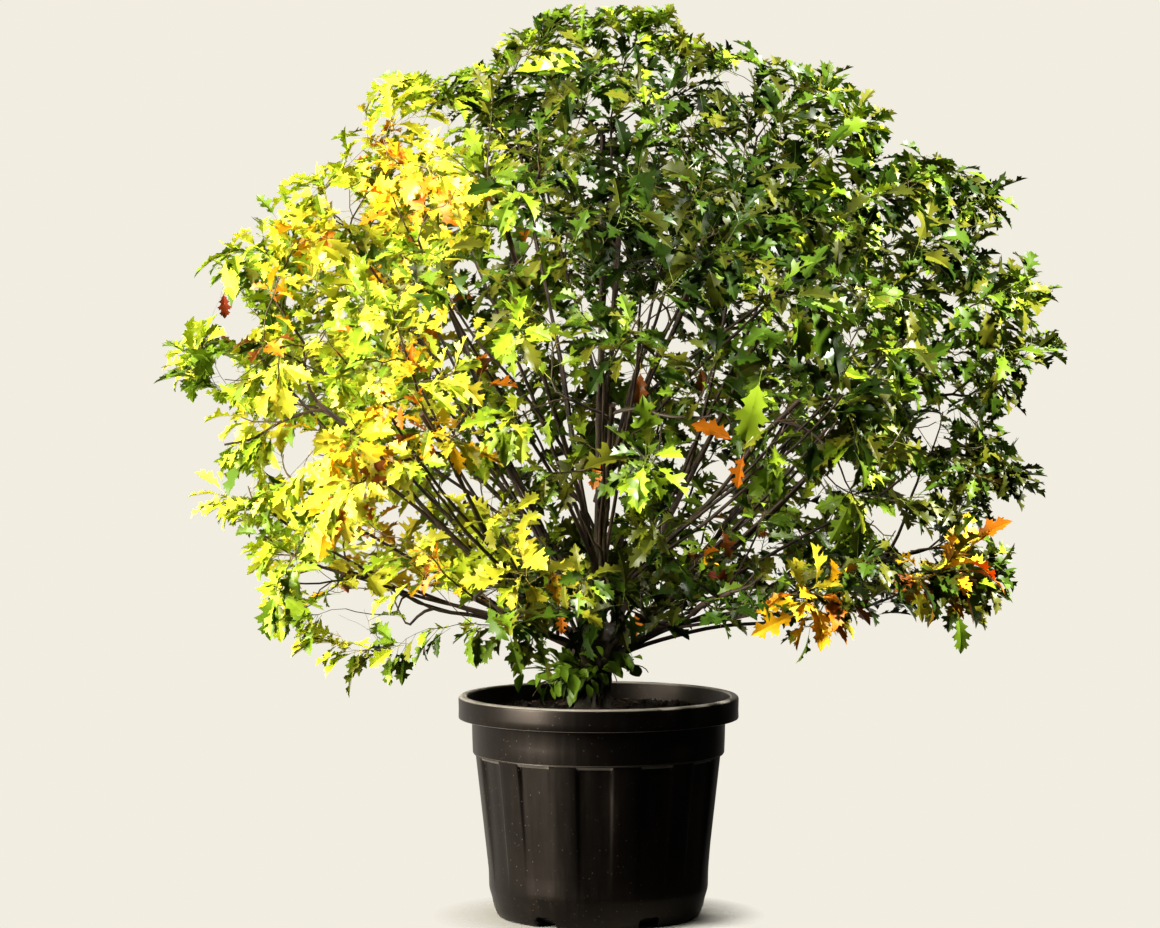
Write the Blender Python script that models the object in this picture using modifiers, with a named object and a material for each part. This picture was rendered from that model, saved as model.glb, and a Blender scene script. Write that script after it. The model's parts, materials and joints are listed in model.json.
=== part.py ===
"""A potted pin oak: a low bush with many limbs, in a black ribbed container.

Metres, +Z up. The origin is under the middle of the pot's flat base. The plant is seen from -Y.
"""

import math
import random

import bmesh
import bpy
from mathutils import Matrix, Vector
from mathutils.bvhtree import BVHTree

# Pot
pot_height = 0.316
pot_wall = 0.003
rim_radius = 0.2000
rim_drop = 0.0320
lip_radius = 0.1895
collar_radius = 0.1795
collar_foot = 0.2350
body_top_radius = 0.1750
body_foot_radius = 0.1540
base_radius = 0.1440
base_bevel = 0.0120
base_slope = 0.0045
wall_draft = 0.0006
flute_count = 12
flute_depth = 0.0045
flute_turn = -92.0
flute_foot = 0.0470
flute_slope = 0.0060
recess_half = 7.0
rib_edge = 9.4
drain_count = 6
drain_width = 0.032
drain_height = 0.015
drain_turn = -1.0
drain_reach = 0.05

# Compost
gap = 0.0003
soil_edge = 0.2840
soil_top = 0.2890
soil_flat = 0.0550
soil_fall = 0.0015
soil_sides = 24

# Trunk
trunk_foot = Vector((-0.0100, 0.0, soil_top + gap))
trunk_fork = Vector((0.0, 0.0, 0.4200))
trunk_sides = 12
trunk_waist = 0.0210
trunk_flare = 0.0115
trunk_head = 0.0170
trunk_sway = Vector((0.003, 0.004, 0))
root_count = 5
root_height = 0.005

# Crown: half sizes from its middle to its skin
crown_middle = Vector((0.023, 0.0, 0.790))
crown_half_width = 0.665
crown_half_depth = 0.610
crown_half_up = 0.550
crown_half_down = 0.470
crown_floor = 0.365
crown_top_power = 1.5
crown_foot_power = 3.5

# Limbs and twigs
limb_rings = 7
foot_sunk = 0.012
foot_aside = 0.018
stem_radius = 0.0046
twig_radius = 0.0036
twig_tip_radius = 0.0030
stem_collar = 0.008
long_twig = 0.15
limb_clear = 0.0012
space_clear = 0.0020

# Leaves, larger than life: each stands for several
leaf_length = 0.146
leaf_thickness = 0.0030
leaf_half_rim = ((1.00, 0.00), (0.52, 0.32), (0.00, 0.00))
leaf_middle = 0.45
leaves_on_twig = 5
sites_in_mass = 7
tries_for_site = 24
mass_reach = Vector((0.30, 0.30, 0.26))

# One line a mass: its name, turn from +X in degrees, height, distance from the axis, share of the
# crown's skin that it reaches, the bough that carries it and where along that one it springs,
# its rise in degrees where it leaves, and its radius at the foot.
masses = (
    ("skirt_right", 4, 0.520, 0.43, 1.00, "trunk", 0.62, 6, 0.0085),
    ("skirt_back_right", 62, 0.510, 0.39, 0.98, "trunk", 0.70, 8, 0.0078),
    ("skirt_back_left", 120, 0.515, 0.39, 0.97, "trunk", 0.63, 8, 0.0078),
    ("skirt_left", 178, 0.510, 0.43, 0.99, "trunk", 0.70, 4, 0.0085),
    ("skirt_front_left", 238, 0.490, 0.37, 0.95, "trunk", 0.62, 8, 0.0080),
    ("skirt_front_right", 300, 0.500, 0.37, 0.95, "trunk", 0.70, 8, 0.0080),
    ("flank_right", 350, 0.800, 0.47, 1.00, "trunk", 0.86, 38, 0.0095),
    ("flank_back_right", 40, 0.780, 0.44, 0.98, "flank_right", 0.16, 0, 0.0070),
    ("flank_back", 90, 0.790, 0.42, 0.97, "trunk", 0.88, 42, 0.0085),
    ("flank_back_left", 142, 0.780, 0.43, 0.98, "flank_back", 0.18, 0, 0.0068),
    ("flank_left", 190, 0.770, 0.45, 0.99, "trunk", 0.86, 34, 0.0090),
    ("flank_front_left", 230, 0.760, 0.42, 0.97, "flank_left", 0.18, 0, 0.0068),
    ("flank_front", 271, 0.780, 0.40, 0.97, "trunk", 0.88, 44, 0.0082),
    ("flank_front_right", 313, 0.780, 0.42, 0.98, "flank_front", 0.17, 0, 0.0068),
    ("shoulder_right", 14, 1.040, 0.33, 0.95, "trunk", 0.94, 66, 0.0085),
    ("shoulder_back", 85, 1.040, 0.28, 0.96, "top", 0.22, 0, 0.0065),
    ("shoulder_left", 160, 1.010, 0.31, 0.91, "trunk", 0.98, 66, 0.0082),
    ("shoulder_front_left", 236, 1.030, 0.27, 0.96, "top", 0.12, 0, 0.0065),
    ("shoulder_front_right", 308, 1.040, 0.28, 0.96, "top", 0.34, 0, 0.0062),
    ("top", 100, 1.180, 0.03, 1.00, "trunk", 1.00, 86, 0.0100),
)

# Shoots round the trunk's foot: name, turn, share of the trunk's height, reach, height at the tip
shoots = (
    ("shoot_left", 196, 0.22, 0.088, 0.352),
    ("shoot_front", 262, 0.30, 0.060, 0.358),
    ("shoot_right", 335, 0.26, 0.074, 0.350),
)
shoot_radius = 0.0034
shoot_leaf = 0.056
shoot_clear = 0.004


def clear_scene():
    """Removes what the file was opened with."""
    for obj in list(bpy.data.objects):
        bpy.data.objects.remove(obj)


def collection(name, hidden=False):
    """A new collection in the scene."""
    made = bpy.data.collections.new(name)
    bpy.context.scene.collection.children.link(made)
    made.hide_render = hidden
    return made


def finish_of(name, colour, roughness):
    """A plain Principled material."""
    made = bpy.data.materials.new(name)
    made.use_nodes = True
    shader = made.node_tree.nodes["Principled BSDF"]
    shader.inputs["Base Color"].default_value = (*colour, 1.0)
    shader.inputs["Roughness"].default_value = roughness
    shader.inputs["Metallic"].default_value = 0.0
    made.diffuse_color = (*colour, 1.0)
    return made


def object_of(name, mesh, group, finish=None):
    """A new object that shows this mesh."""
    made = bpy.data.objects.new(name, mesh)
    group.objects.link(made)
    if finish:
        mesh.materials.clear()
        mesh.materials.append(finish)
    return made


def as_cutter(obj):
    """Marks an object as a cutter or a guide, which isn't part of the plant."""
    obj.hide_render = True
    obj.display_type = "WIRE"
    return obj


def mesh_of(bm, name):
    """Turns a bmesh into a mesh and frees it."""
    mesh = bpy.data.meshes.new(name)
    bm.to_mesh(mesh)
    bm.free()
    return mesh


def settled(obj, weld=False):
    """Replaces an object by a plain mesh of what its modifiers or its bevel make."""
    bpy.context.view_layer.update()
    graph = bpy.context.evaluated_depsgraph_get()
    mesh = bpy.data.meshes.new_from_object(obj.evaluated_get(graph))
    bm = bmesh.new()
    bm.from_mesh(mesh)
    if weld:
        bmesh.ops.remove_doubles(bm, verts=bm.verts, dist=0.00001)
        bmesh.ops.recalc_face_normals(bm, faces=bm.faces)
    bm.transform(obj.matrix_world)
    bm.to_mesh(mesh)
    bm.free()
    name, groups = obj.name, list(obj.users_collection)
    bpy.data.objects.remove(obj)
    made = bpy.data.objects.new(name, mesh)
    for group in groups:
        group.objects.link(made)
    return made


def boolean(obj, operation, other, solver="EXACT"):
    """Adds a Boolean with one object, or with every object of a collection, and applies it."""
    step = obj.modifiers.new(operation.lower(), "BOOLEAN")
    step.operation = operation
    step.solver = solver
    if isinstance(other, bpy.types.Collection):
        step.operand_type = "COLLECTION"
        step.collection = other
    else:
        step.object = other
    return settled(obj)


def keep_one_shell(obj, worth):
    """Keeps the closed shell of most worth. Loose scraps go, and a sealed hollow is filled."""
    bm = bmesh.new()
    bm.from_mesh(obj.data)
    left, shells = set(bm.faces), []
    while left:
        seed = left.pop()
        shell, front = {seed}, [seed]
        while front:
            for edge in front.pop().edges:
                for face in edge.link_faces:
                    if face in left:
                        left.remove(face)
                        shell.add(face)
                        front.append(face)
        shells.append(shell)
    kept = max(shells, key=worth)
    bmesh.ops.delete(bm, geom=[f for f in bm.faces if f not in kept], context="FACES")
    bm.to_mesh(obj.data)
    bm.free()


def ring_stack(rings, name, capped=False):
    """Joins rings of points by extruding the first one up through the others."""
    bm = bmesh.new()
    count = len(rings[0])
    made = bmesh.ops.create_circle(bm, segments=count, radius=1.0, cap_ends=capped)
    for vert, place in zip(made["verts"], rings[0]):
        vert.co = place
    verts = list(made["verts"])
    for ring in rings[1:]:
        edges = [bm.edges.get((verts[i - 1], verts[i])) for i in range(count)]
        grown = bmesh.ops.extrude_edge_only(bm, edges=edges)
        fresh = [e for e in grown["geom"] if isinstance(e, bmesh.types.BMVert)]
        above = {}
        for vert in fresh:
            below = next(e.other_vert(vert) for e in vert.link_edges if e.other_vert(vert) in verts)
            above[below] = vert
        verts = [above[v] for v in verts]
        for vert, place in zip(verts, ring):
            vert.co = place
    if capped:
        bmesh.ops.contextual_create(bm, geom=verts)
    bmesh.ops.recalc_face_normals(bm, faces=bm.faces)
    return mesh_of(bm, name)


# Pot and compost


def flute_angles():
    """Turn of each corner round the pot, with True where it lies in a recess."""
    corners = []
    for flute in range(flute_count):
        middle = flute_turn + 360 / flute_count * flute
        for step in (-rib_edge, -recess_half, recess_half, rib_edge):
            corners.append((math.radians(middle + step), abs(step) == recess_half))
    return corners


def pot_ring(radius, height, sunk=0.0):
    """A ring of corners round the pot, with the recessed ones sunk in."""
    ring = []
    for angle, recessed in flute_angles():
        reach = radius - (sunk if recessed else 0.0)
        ring.append(Vector((reach * math.cos(angle), reach * math.sin(angle), height)))
    return ring


def make_pot(group, cutters, finish):
    """The container: one wall of even thickness, fluted, turned over at the rim, with drain notches."""
    floor = pot_wall / 2
    top = pot_height - pot_wall / 2
    skirt = rim_radius - pot_wall / 2
    rings = [
        pot_ring(base_radius, floor),
        pot_ring(body_foot_radius - base_slope, floor + base_bevel),
        pot_ring(body_foot_radius, flute_foot),
        pot_ring(body_foot_radius + wall_draft, flute_foot + flute_slope, flute_depth),
        pot_ring(body_top_radius - wall_draft, collar_foot - flute_slope, flute_depth),
        pot_ring(collar_radius - pot_wall / 2, collar_foot),
        pot_ring(collar_radius, pot_height - rim_drop),
        pot_ring(lip_radius, top),
        pot_ring(skirt, top),
        pot_ring(skirt, pot_height - rim_drop),
    ]
    mesh = ring_stack(rings, "pot")
    bm = bmesh.new()
    bm.from_mesh(mesh)
    foot = [edge for edge in bm.edges if edge.is_boundary and edge.verts[0].co.z < base_bevel]
    bmesh.ops.contextual_create(bm, geom=foot)
    bmesh.ops.recalc_face_normals(bm, faces=bm.faces)
    bm.to_mesh(mesh)
    bm.free()
    pot = object_of("pot", mesh, group)
    wall = pot.modifiers.new("wall", "SOLIDIFY")
    wall.thickness = pot_wall
    wall.offset = 0.0
    wall.use_even_offset = True
    pot = settled(pot)
    for index in range(drain_count):
        bm = bmesh.new()
        bmesh.ops.create_cube(bm, size=1.0)
        bmesh.ops.scale(bm, verts=bm.verts, vec=(drain_reach, drain_width, drain_height * 2))
        bmesh.ops.translate(bm, verts=bm.verts, vec=(base_radius, 0, 0))
        turn = Matrix.Rotation(math.radians(360 / drain_count * index + drain_turn), 3, "Z")
        bmesh.ops.rotate(bm, verts=bm.verts, matrix=turn)
        as_cutter(object_of(f"drain_cutter_{index}", mesh_of(bm, "drain_cutter"), cutters))
    pot = boolean(pot, "DIFFERENCE", cutters)
    pot.data.materials.clear()
    pot.data.materials.append(finish)
    pot.data.shade_smooth()
    pot.data.set_sharp_from_angle(angle=math.radians(25))
    return pot


def make_soil(group, finish):
    """The compost: a plug that fills the pot to just under its lip, with a flat place for the trunk."""
    snug = math.cos(math.radians(recess_half))
    inside = pot_wall / 2 + gap * 4
    profile = (
        (base_radius * snug - inside, pot_wall + gap),
        ((body_foot_radius - flute_depth) * snug - inside, flute_foot),
        ((body_top_radius - wall_draft - flute_depth) * snug - inside, collar_foot - flute_slope),
        ((collar_radius - wall_draft) * snug - inside, collar_foot + pot_wall * 3),
        (collar_radius * snug - inside, soil_edge),
        (soil_flat * 2, soil_top - soil_fall),
        (soil_flat, soil_top),
    )
    rings = []
    for radius, height in profile:
        turns = [math.tau * step / soil_sides for step in range(soil_sides)]
        rings.append([Vector((radius * math.cos(a), radius * math.sin(a), height)) for a in turns])
    return object_of("soil", ring_stack(rings, "soil", capped=True), group, finish)


# Trunk and boughs


def trunk_radius(share):
    """Radius of the trunk from its foot, 0, to the top of its head, 1."""
    flare = trunk_flare * math.exp(-share * 11)
    head = trunk_head * max(0.0, min(1.0, (share - 0.42) / 0.40)) ** 1.3
    close = math.sqrt(max(0.0, 1 - max(0.0, (share - 0.86) / 0.15) ** 2.4))
    return (trunk_waist + flare + head) * close


def trunk_point(share):
    """The trunk's centre line, which leans a little and sways."""
    return trunk_foot.lerp(trunk_fork, share) + trunk_sway * math.sin(share * math.pi)


def trunk_ring(share, spread=0.0):
    """Corners round the trunk, with root buttresses near the ground."""
    middle, ring = trunk_point(share), []
    for side in range(trunk_sides):
        angle = math.tau * side / trunk_sides
        root = root_height * math.exp(-share * 9) * math.cos(angle * root_count + 0.6)
        reach = trunk_radius(share) + root + spread
        ring.append(middle + Vector((math.cos(angle), math.sin(angle), 0)) * reach)
    return ring


def make_trunk(group, finish, spread=0.0, name="trunk"):
    """The short trunk, from its flat cut on the compost to its swollen head."""
    shares = (0.0, 0.08, 0.20, 0.38, 0.55, 0.70, 0.85, 0.94, 0.995)
    rings = [trunk_ring(share, spread) for share in shares]
    for corner in rings[0]:
        corner.z -= spread
    for corner in rings[-1]:
        corner.z += spread
    return object_of(name, ring_stack(rings, name, capped=True), group, finish)


def bend(start, heading, end, arrive, count):
    """Points along one smooth curve from start, leaving along heading, to end, arriving along arrive."""
    reach = (end - start).length
    first = start + heading.normalized() * reach * 0.36
    last = end - arrive.normalized() * reach * 0.30
    points = []
    for step in range(count):
        t = step / (count - 1)
        points.append(
            start * (1 - t) ** 3
            + first * 3 * t * (1 - t) ** 2
            + last * 3 * t * t * (1 - t)
            + end * t**3
        )
    return points


def outward(turn):
    """Level direction at this turn from +X, in degrees."""
    return Vector((math.cos(math.radians(turn)), math.sin(math.radians(turn)), 0))


def mass_middle(row):
    """The middle of a mass."""
    _, turn, height, distance = row[:4]
    return Vector((crown_middle.x * 0.5, 0, height)) + outward(turn) * distance


def limb_path(row, paths):
    """(points, radii) of the bough that carries a mass: it ends where it enters the mass."""
    name, turn, _, _, _, parent, along, rise, radius = row
    middle = mass_middle(row)
    if parent == "trunk":
        aside = foot_aside if rise < 80 else 0.0
        start = trunk_point(along) - Vector((0, 0, foot_sunk)) + outward(turn) * aside
        lift = Vector((0, 0, math.tan(math.radians(rise)))) if rise < 80 else Vector((0, 0, 12))
        heading = outward(turn) + lift
    else:
        points, _ = paths[parent]
        place = along * (len(points) - 1)
        index = int(place)
        start = points[index].lerp(points[index + 1], place - index)
        onward = (points[index + 1] - points[index]).normalized()
        heading = onward * 0.55 + (middle - start).normalized() * 0.75
    entry = start.lerp(middle, 0.66)
    arrive = (middle - start).normalized() + Vector((0, 0, 0.30))
    points = bend(start, heading, entry, arrive, limb_rings)
    radii = [radius + (stem_radius - radius) * (i / (limb_rings - 1)) ** 0.8 for i in range(limb_rings)]
    return points, radii


def tube(name, points, radii, group, section=None):
    """A tapering tube along points, as a curve made into a mesh: six-sided, or of the given section."""
    curve = bpy.data.curves.new(name, "CURVE")
    curve.dimensions = "3D"
    curve.use_fill_caps = True
    curve.twist_mode = "MINIMUM"
    if section:
        curve.bevel_mode = "OBJECT"
        curve.bevel_object = section
    else:
        curve.bevel_depth = 1.0
        curve.bevel_resolution = 1
    spline = curve.splines.new("POLY")
    spline.points.add(len(points) - 1)
    for knot, place, radius in zip(spline.points, points, radii):
        knot.co = (*place, 1.0)
        knot.radius = radius
    made = bpy.data.objects.new(name, curve)
    group.objects.link(made)
    return settled(made, weld=True)


def make_bough(row, paths, trunk_cutter, group, cutters, finish):
    """One tapering bough. Its foot is cut to lie 0.3 mm off what carries it."""
    name, parent = row[0], row[5]
    points, radii = paths[name]
    bough = tube(f"bough_{name}", points, radii, group)
    if parent == "trunk":
        cutter = trunk_cutter
    else:
        parent_points, parent_radii = paths[parent]
        wider = [radius + gap * 1.2 for radius in parent_radii]
        cutter = as_cutter(tube(f"cutter_{name}", parent_points, wider, cutters))
    bough = boolean(bough, "DIFFERENCE", cutter)
    tip = points[-1]
    keep_one_shell(bough, lambda shell: -min((face.calc_center_median() - tip).length for face in shell))
    bough.data.materials.clear()
    bough.data.materials.append(finish)
    bough.data.shade_smooth()
    return bough


# Masses of foliage


def skin_share(place):
    """How far out a place lies: 0 at the crown's middle, 1 on its skin."""
    offset = place - crown_middle
    level = math.hypot(offset.x / crown_half_width, offset.y / crown_half_depth)
    if offset.z > 0:
        tall, power = offset.z / crown_half_up, crown_top_power
    else:
        tall, power = -offset.z / crown_half_down, crown_foot_power
    return (level**power + tall**power) ** (1 / power)


def in_space(place, own, middles, skin, clear):
    """True if a place is in the space of mass own: nearer its middle than any other, under the skin."""
    if skin_share(place) > skin or place.z < crown_floor:
        return False
    here = (place - middles[own]).length_squared
    for other, middle in middles.items():
        if other == own:
            continue
        apart = (middle - middles[own]).length
        if (place - middle).length_squared - here < 2 * apart * clear:
            return False
    return True


def tree_of(mesh):
    """A search tree of a mesh's faces."""
    places = [vert.co for vert in mesh.vertices]
    return BVHTree.FromPolygons(places, [face.vertices for face in mesh.polygons])


def limb_trees(paths, trunk, cutters):
    """Search trees of the trunk and of every bough, each a little fatter than it is."""
    trees = [tree_of(trunk.data)]
    for name, (points, radii) in paths.items():
        wide = tube(f"clear_{name}", points, [radius + limb_clear for radius in radii], cutters)
        trees.append(tree_of(wide.data))
        bpy.data.objects.remove(wide)
    return trees


def spray_sites(row, middles, rng):
    """Places in a mass where its twigs end: each the farthest of several draws from those before it."""
    name, skin = row[0], row[4]
    middle, sites = middles[name], []
    outer = skin - leaf_length * 0.60 / crown_half_depth
    while len(sites) < sites_in_mass:
        best, widest = None, -1.0
        for _ in range(tries_for_site):
            place = middle + Vector([rng.uniform(-reach, reach) for reach in mass_reach])
            if not in_space(place, name, middles, outer, leaf_length * 0.22):
                continue
            if skin_share(place) < 0.42 + 0.25 * rng.random():
                continue
            apart = min([(place - s).length for s in sites] or [1.0])
            if apart > widest:
                best, widest = place, apart
        if best is not None:
            sites.append(best)
    return sites


def leaf_frame(root, heading, face, length):
    """The matrix that lays a unit leaf from root along heading, with its upper side towards face."""
    x = heading.normalized()
    z = (face - x * face.dot(x)).normalized()
    y = z.cross(x)
    turn = Matrix((x, y, z)).transposed().to_4x4()
    return Matrix.Translation(root) @ turn @ Matrix.Diagonal((length, length, length, 1.0))


def unit_leaf(rng):
    """A leaf of length 1: a sphere of two cones, flattened until its rim is the leaf's outline."""
    rim = leaf_half_rim + tuple((x, -y) for x, y in leaf_half_rim[-2:0:-1])
    bm = bmesh.new()
    bmesh.ops.create_uvsphere(bm, u_segments=len(rim), v_segments=2, radius=1.0)
    equator = sorted(
        (v for v in bm.verts if abs(v.co.z) < 0.5),
        key=lambda v: (math.atan2(v.co.y, v.co.x) + 0.1) % math.tau,
    )
    droop = rng.uniform(0.04, 0.12)
    fold = rng.uniform(0.05, 0.14)
    for vert, (x, y) in zip(equator, rim):
        vert.co = (x, y, fold * abs(y) - droop * max(0.0, x - leaf_middle))
    half = leaf_thickness / leaf_length / 2
    for vert in bm.verts:
        if vert not in equator:
            vert.co = (leaf_middle, 0, math.copysign(half, vert.co.z))
    return bm


def leaf_corners(frame):
    """The corners of a blade's outline."""
    return [frame @ Vector((x, y * side, 0)) for x, y in leaf_half_rim for side in (-1, 1)]


def twig_fits(points, own, middles, skin):
    """True if a twig keeps to its space."""
    for a, b in zip(points, points[1:]):
        for share in (0.5, 1.0):
            if not in_space(a.lerp(b, share), own, middles, skin, space_clear + twig_radius):
                return False
    return True


def grow_spray(name, points, length, fits, others, rng):
    """Leaves in a rosette at the end of a twig. One that would cross anything is turned, then skipped."""
    tip = points[-1]
    heading = (points[-1] - points[-2]).normalized()
    side = heading.orthogonal().normalized()
    turn = rng.uniform(0, 360)
    grown = []
    for index in range(leaves_on_twig):
        root = tip - heading * (0.004 + 0.006 * index)
        for nudge in (0, 18, -18, 36, -36):
            spin = Matrix.Rotation(math.radians(turn + 360 / leaves_on_twig * index + nudge), 3, heading)
            opening = math.radians(rng.uniform(50, 80))
            direction = heading * math.cos(opening) + (spin @ side) * math.sin(opening)
            face = heading + Vector((0, 0, 0.35)) + Vector([rng.uniform(-0.2, 0.2) for _ in range(3)])
            frame = leaf_frame(root, direction, face, length * rng.uniform(0.85, 1.10))
            leaf = unit_leaf(rng)
            leaf.transform(frame)
            tree = BVHTree.FromBMesh(leaf)
            crosses = any(tree.overlap(other) for other in others)
            if not crosses and fits(frame):
                others.append(tree)
                grown.append(mesh_of(leaf, f"leaf_{name}"))
                break
            leaf.free()
    return grown


def grow_mass(row, middles, paths, limbs, section, loose, rng):
    """Grows a mass in its own collection: its stem first, then its twigs, then their leaves."""
    name, skin = row[0], row[4]
    points, _ = paths[name]
    arrive = (points[-1] - points[-2]).normalized()
    start = points[-1] + arrive * gap
    end = middles[name].lerp(start, 0.25)
    collar = start + arrive * stem_collar
    stem_points = [start] + bend(collar, arrive, end, end - start, 3)
    stem_radii = [stem_radius, stem_radius, (stem_radius + twig_radius) / 2, twig_radius]
    stem = tube(f"stem_{name}", stem_points, stem_radii, loose, section)
    forks = [(stem_points[i], (stem_points[i] - stem_points[i - 1]).normalized()) for i in (2, 3)]
    twigs = []
    for site in sorted(spray_sites(row, middles, rng), key=lambda s: (s - start).length):

        def worth(fork):
            reach = site - fork[0]
            return reach.length * (1.25 - 0.45 * reach.normalized().dot(fork[1]))

        place, onward = min(forks, key=worth)
        away = (site - place).normalized()
        count = 3 if (site - place).length > long_twig else 2
        twig = bend(place, onward * 0.7 + away, site, away + Vector((0, 0, 0.3)), count)
        taper = [twig_radius + (twig_tip_radius - twig_radius) * i / (count - 1) for i in range(count)]
        made = tube(f"twig_{name}", twig, taper, loose, section)
        tree = tree_of(made.data)
        if not twig_fits(twig, name, middles, skin) or any(tree.overlap(limb) for limb in limbs):
            bpy.data.objects.remove(made)
            continue
        twigs.append((twig, tree))
        for i in range(1, count):
            forks.append((twig[i], (twig[i] - twig[i - 1]).normalized()))

    def fits(frame):
        return all(in_space(place, name, middles, skin, space_clear) for place in leaf_corners(frame))

    leaf_trees = []
    for twig, own_tree in twigs:
        others = limbs + [tree_of(stem.data)] + [tree for _, tree in twigs if tree is not own_tree]
        others += leaf_trees
        before = len(others)
        for mesh in grow_spray(name, twig, leaf_length, fits, others, rng):
            object_of(mesh.name, mesh, loose)
        leaf_trees += others[before:]
    return stem, len(leaf_trees)


def fused(stem, loose, name, group, finish, cutter=None):
    """Joins a stem and all that grows on it into one solid, and removes the loose pieces."""
    loose.objects.unlink(stem)
    group.objects.link(stem)
    stem.name = name
    made = boolean(stem, "UNION", loose, solver="MANIFOLD")
    if cutter:
        made = boolean(made, "DIFFERENCE", cutter, solver="MANIFOLD")
    for obj in list(loose.objects):
        bpy.data.objects.remove(obj)
    bpy.data.collections.remove(loose)
    keep_one_shell(made, len)
    made.data.materials.clear()
    made.data.materials.append(finish)
    return made


def make_mass(row, middles, paths, limbs, section, group, finish, rng):
    """One mass as a single solid: its stem, fused with its twigs and leaves."""
    name = row[0]
    loose = collection(f"loose_{name}")
    stem, leaf_count = grow_mass(row, middles, paths, limbs, section, loose, rng)
    return fused(stem, loose, f"foliage_{name}", group, finish), leaf_count


def make_shoot(row, trunk_cutter, neighbours, section, group, finish, rng):
    """A thin young shoot with small leaves, cut to lie 0.3 mm off the trunk that it springs from."""
    name, turn, share, reach, height = row
    loose = collection(f"loose_{name}")
    start = trunk_point(share)
    tip = start + outward(turn) * reach
    tip.z = height
    points = bend(start, outward(turn) + Vector((0, 0, 0.2)), tip, outward(turn) + Vector((0, 0, 1)), 4)
    radii = [shoot_radius, shoot_radius, shoot_radius * 0.9, shoot_radius * 0.8]
    stem = tube(f"stem_{name}", points, radii, loose, section)

    def fits(frame):
        corners = leaf_corners(frame)
        return all(soil_top + shoot_clear < place.z < crown_floor - shoot_clear for place in corners)

    others = [tree_of(trunk_cutter.data)] + [tree_of(neighbour.data) for neighbour in neighbours]
    meshes = grow_spray(name, points, shoot_leaf, fits, others, rng)
    meshes += grow_spray(name, points[:3], shoot_leaf, fits, others, rng)
    for mesh in meshes:
        object_of(mesh.name, mesh, loose)
    return fused(stem, loose, name, group, finish, trunk_cutter), len(meshes)


def make_profile(group):
    """The three-cornered section of every twig."""
    curve = bpy.data.curves.new("twig_section", "CURVE")
    curve.dimensions = "2D"
    spline = curve.splines.new("POLY")
    spline.points.add(2)
    for knot, turn in zip(spline.points, (90, 210, 330)):
        knot.co = (math.cos(math.radians(turn)), math.sin(math.radians(turn)), 0, 1)
    spline.use_cyclic_u = True
    made = bpy.data.objects.new("twig_section", curve)
    group.objects.link(made)
    return as_cutter(made)


def main():
    clear_scene()
    plant = collection("potted_pin_oak")
    drains = collection("drain_cutters", hidden=True)
    cutters = collection("limb_cutters", hidden=True)
    black = finish_of("black_plastic", (0.020, 0.018, 0.016), 0.45)
    compost = finish_of("compost", (0.035, 0.024, 0.016), 0.95)
    bark = finish_of("bark", (0.115, 0.085, 0.055), 0.85)
    green = finish_of("green_leaves", (0.090, 0.230, 0.020), 0.55)
    lime = finish_of("yellow_green_leaves", (0.520, 0.560, 0.020), 0.55)
    pot = make_pot(plant, drains, black)
    make_soil(plant, compost)
    make_trunk(plant, bark)
    trunk_cutter = as_cutter(make_trunk(cutters, bark, gap, "trunk_cutter"))
    three_sided = make_profile(cutters)
    paths = {}
    for row in sorted(masses, key=lambda r: r[5] != "trunk"):
        paths[row[0]] = limb_path(row, paths)
    middles = {row[0]: mass_middle(row) for row in masses}
    limbs = limb_trees(paths, trunk_cutter, cutters)
    for row in masses:
        make_bough(row, paths, trunk_cutter, plant, cutters, bark)
    total = 0
    for index, row in enumerate(masses):
        tint = lime if row[0].endswith("left") else green
        rng = random.Random(100 + index)
        mass, count = make_mass(row, middles, paths, limbs, three_sided, plant, tint, rng)
        total += count
        print(f"{mass.name}: {count} leaves")
    near_foot = [pot]
    for index, row in enumerate(shoots):
        rng = random.Random(200 + index)
        shoot, count = make_shoot(row, trunk_cutter, near_foot, three_sided, plant, green, rng)
        near_foot.append(shoot)
        total += count
    print(f"{total} leaves in all")


main()
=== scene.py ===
import json
import math
import random
from collections import namedtuple

import bmesh
import bpy
import numpy as np
from mathutils import Matrix, Vector, noise
from mathutils.bvhtree import BVHTree

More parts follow.
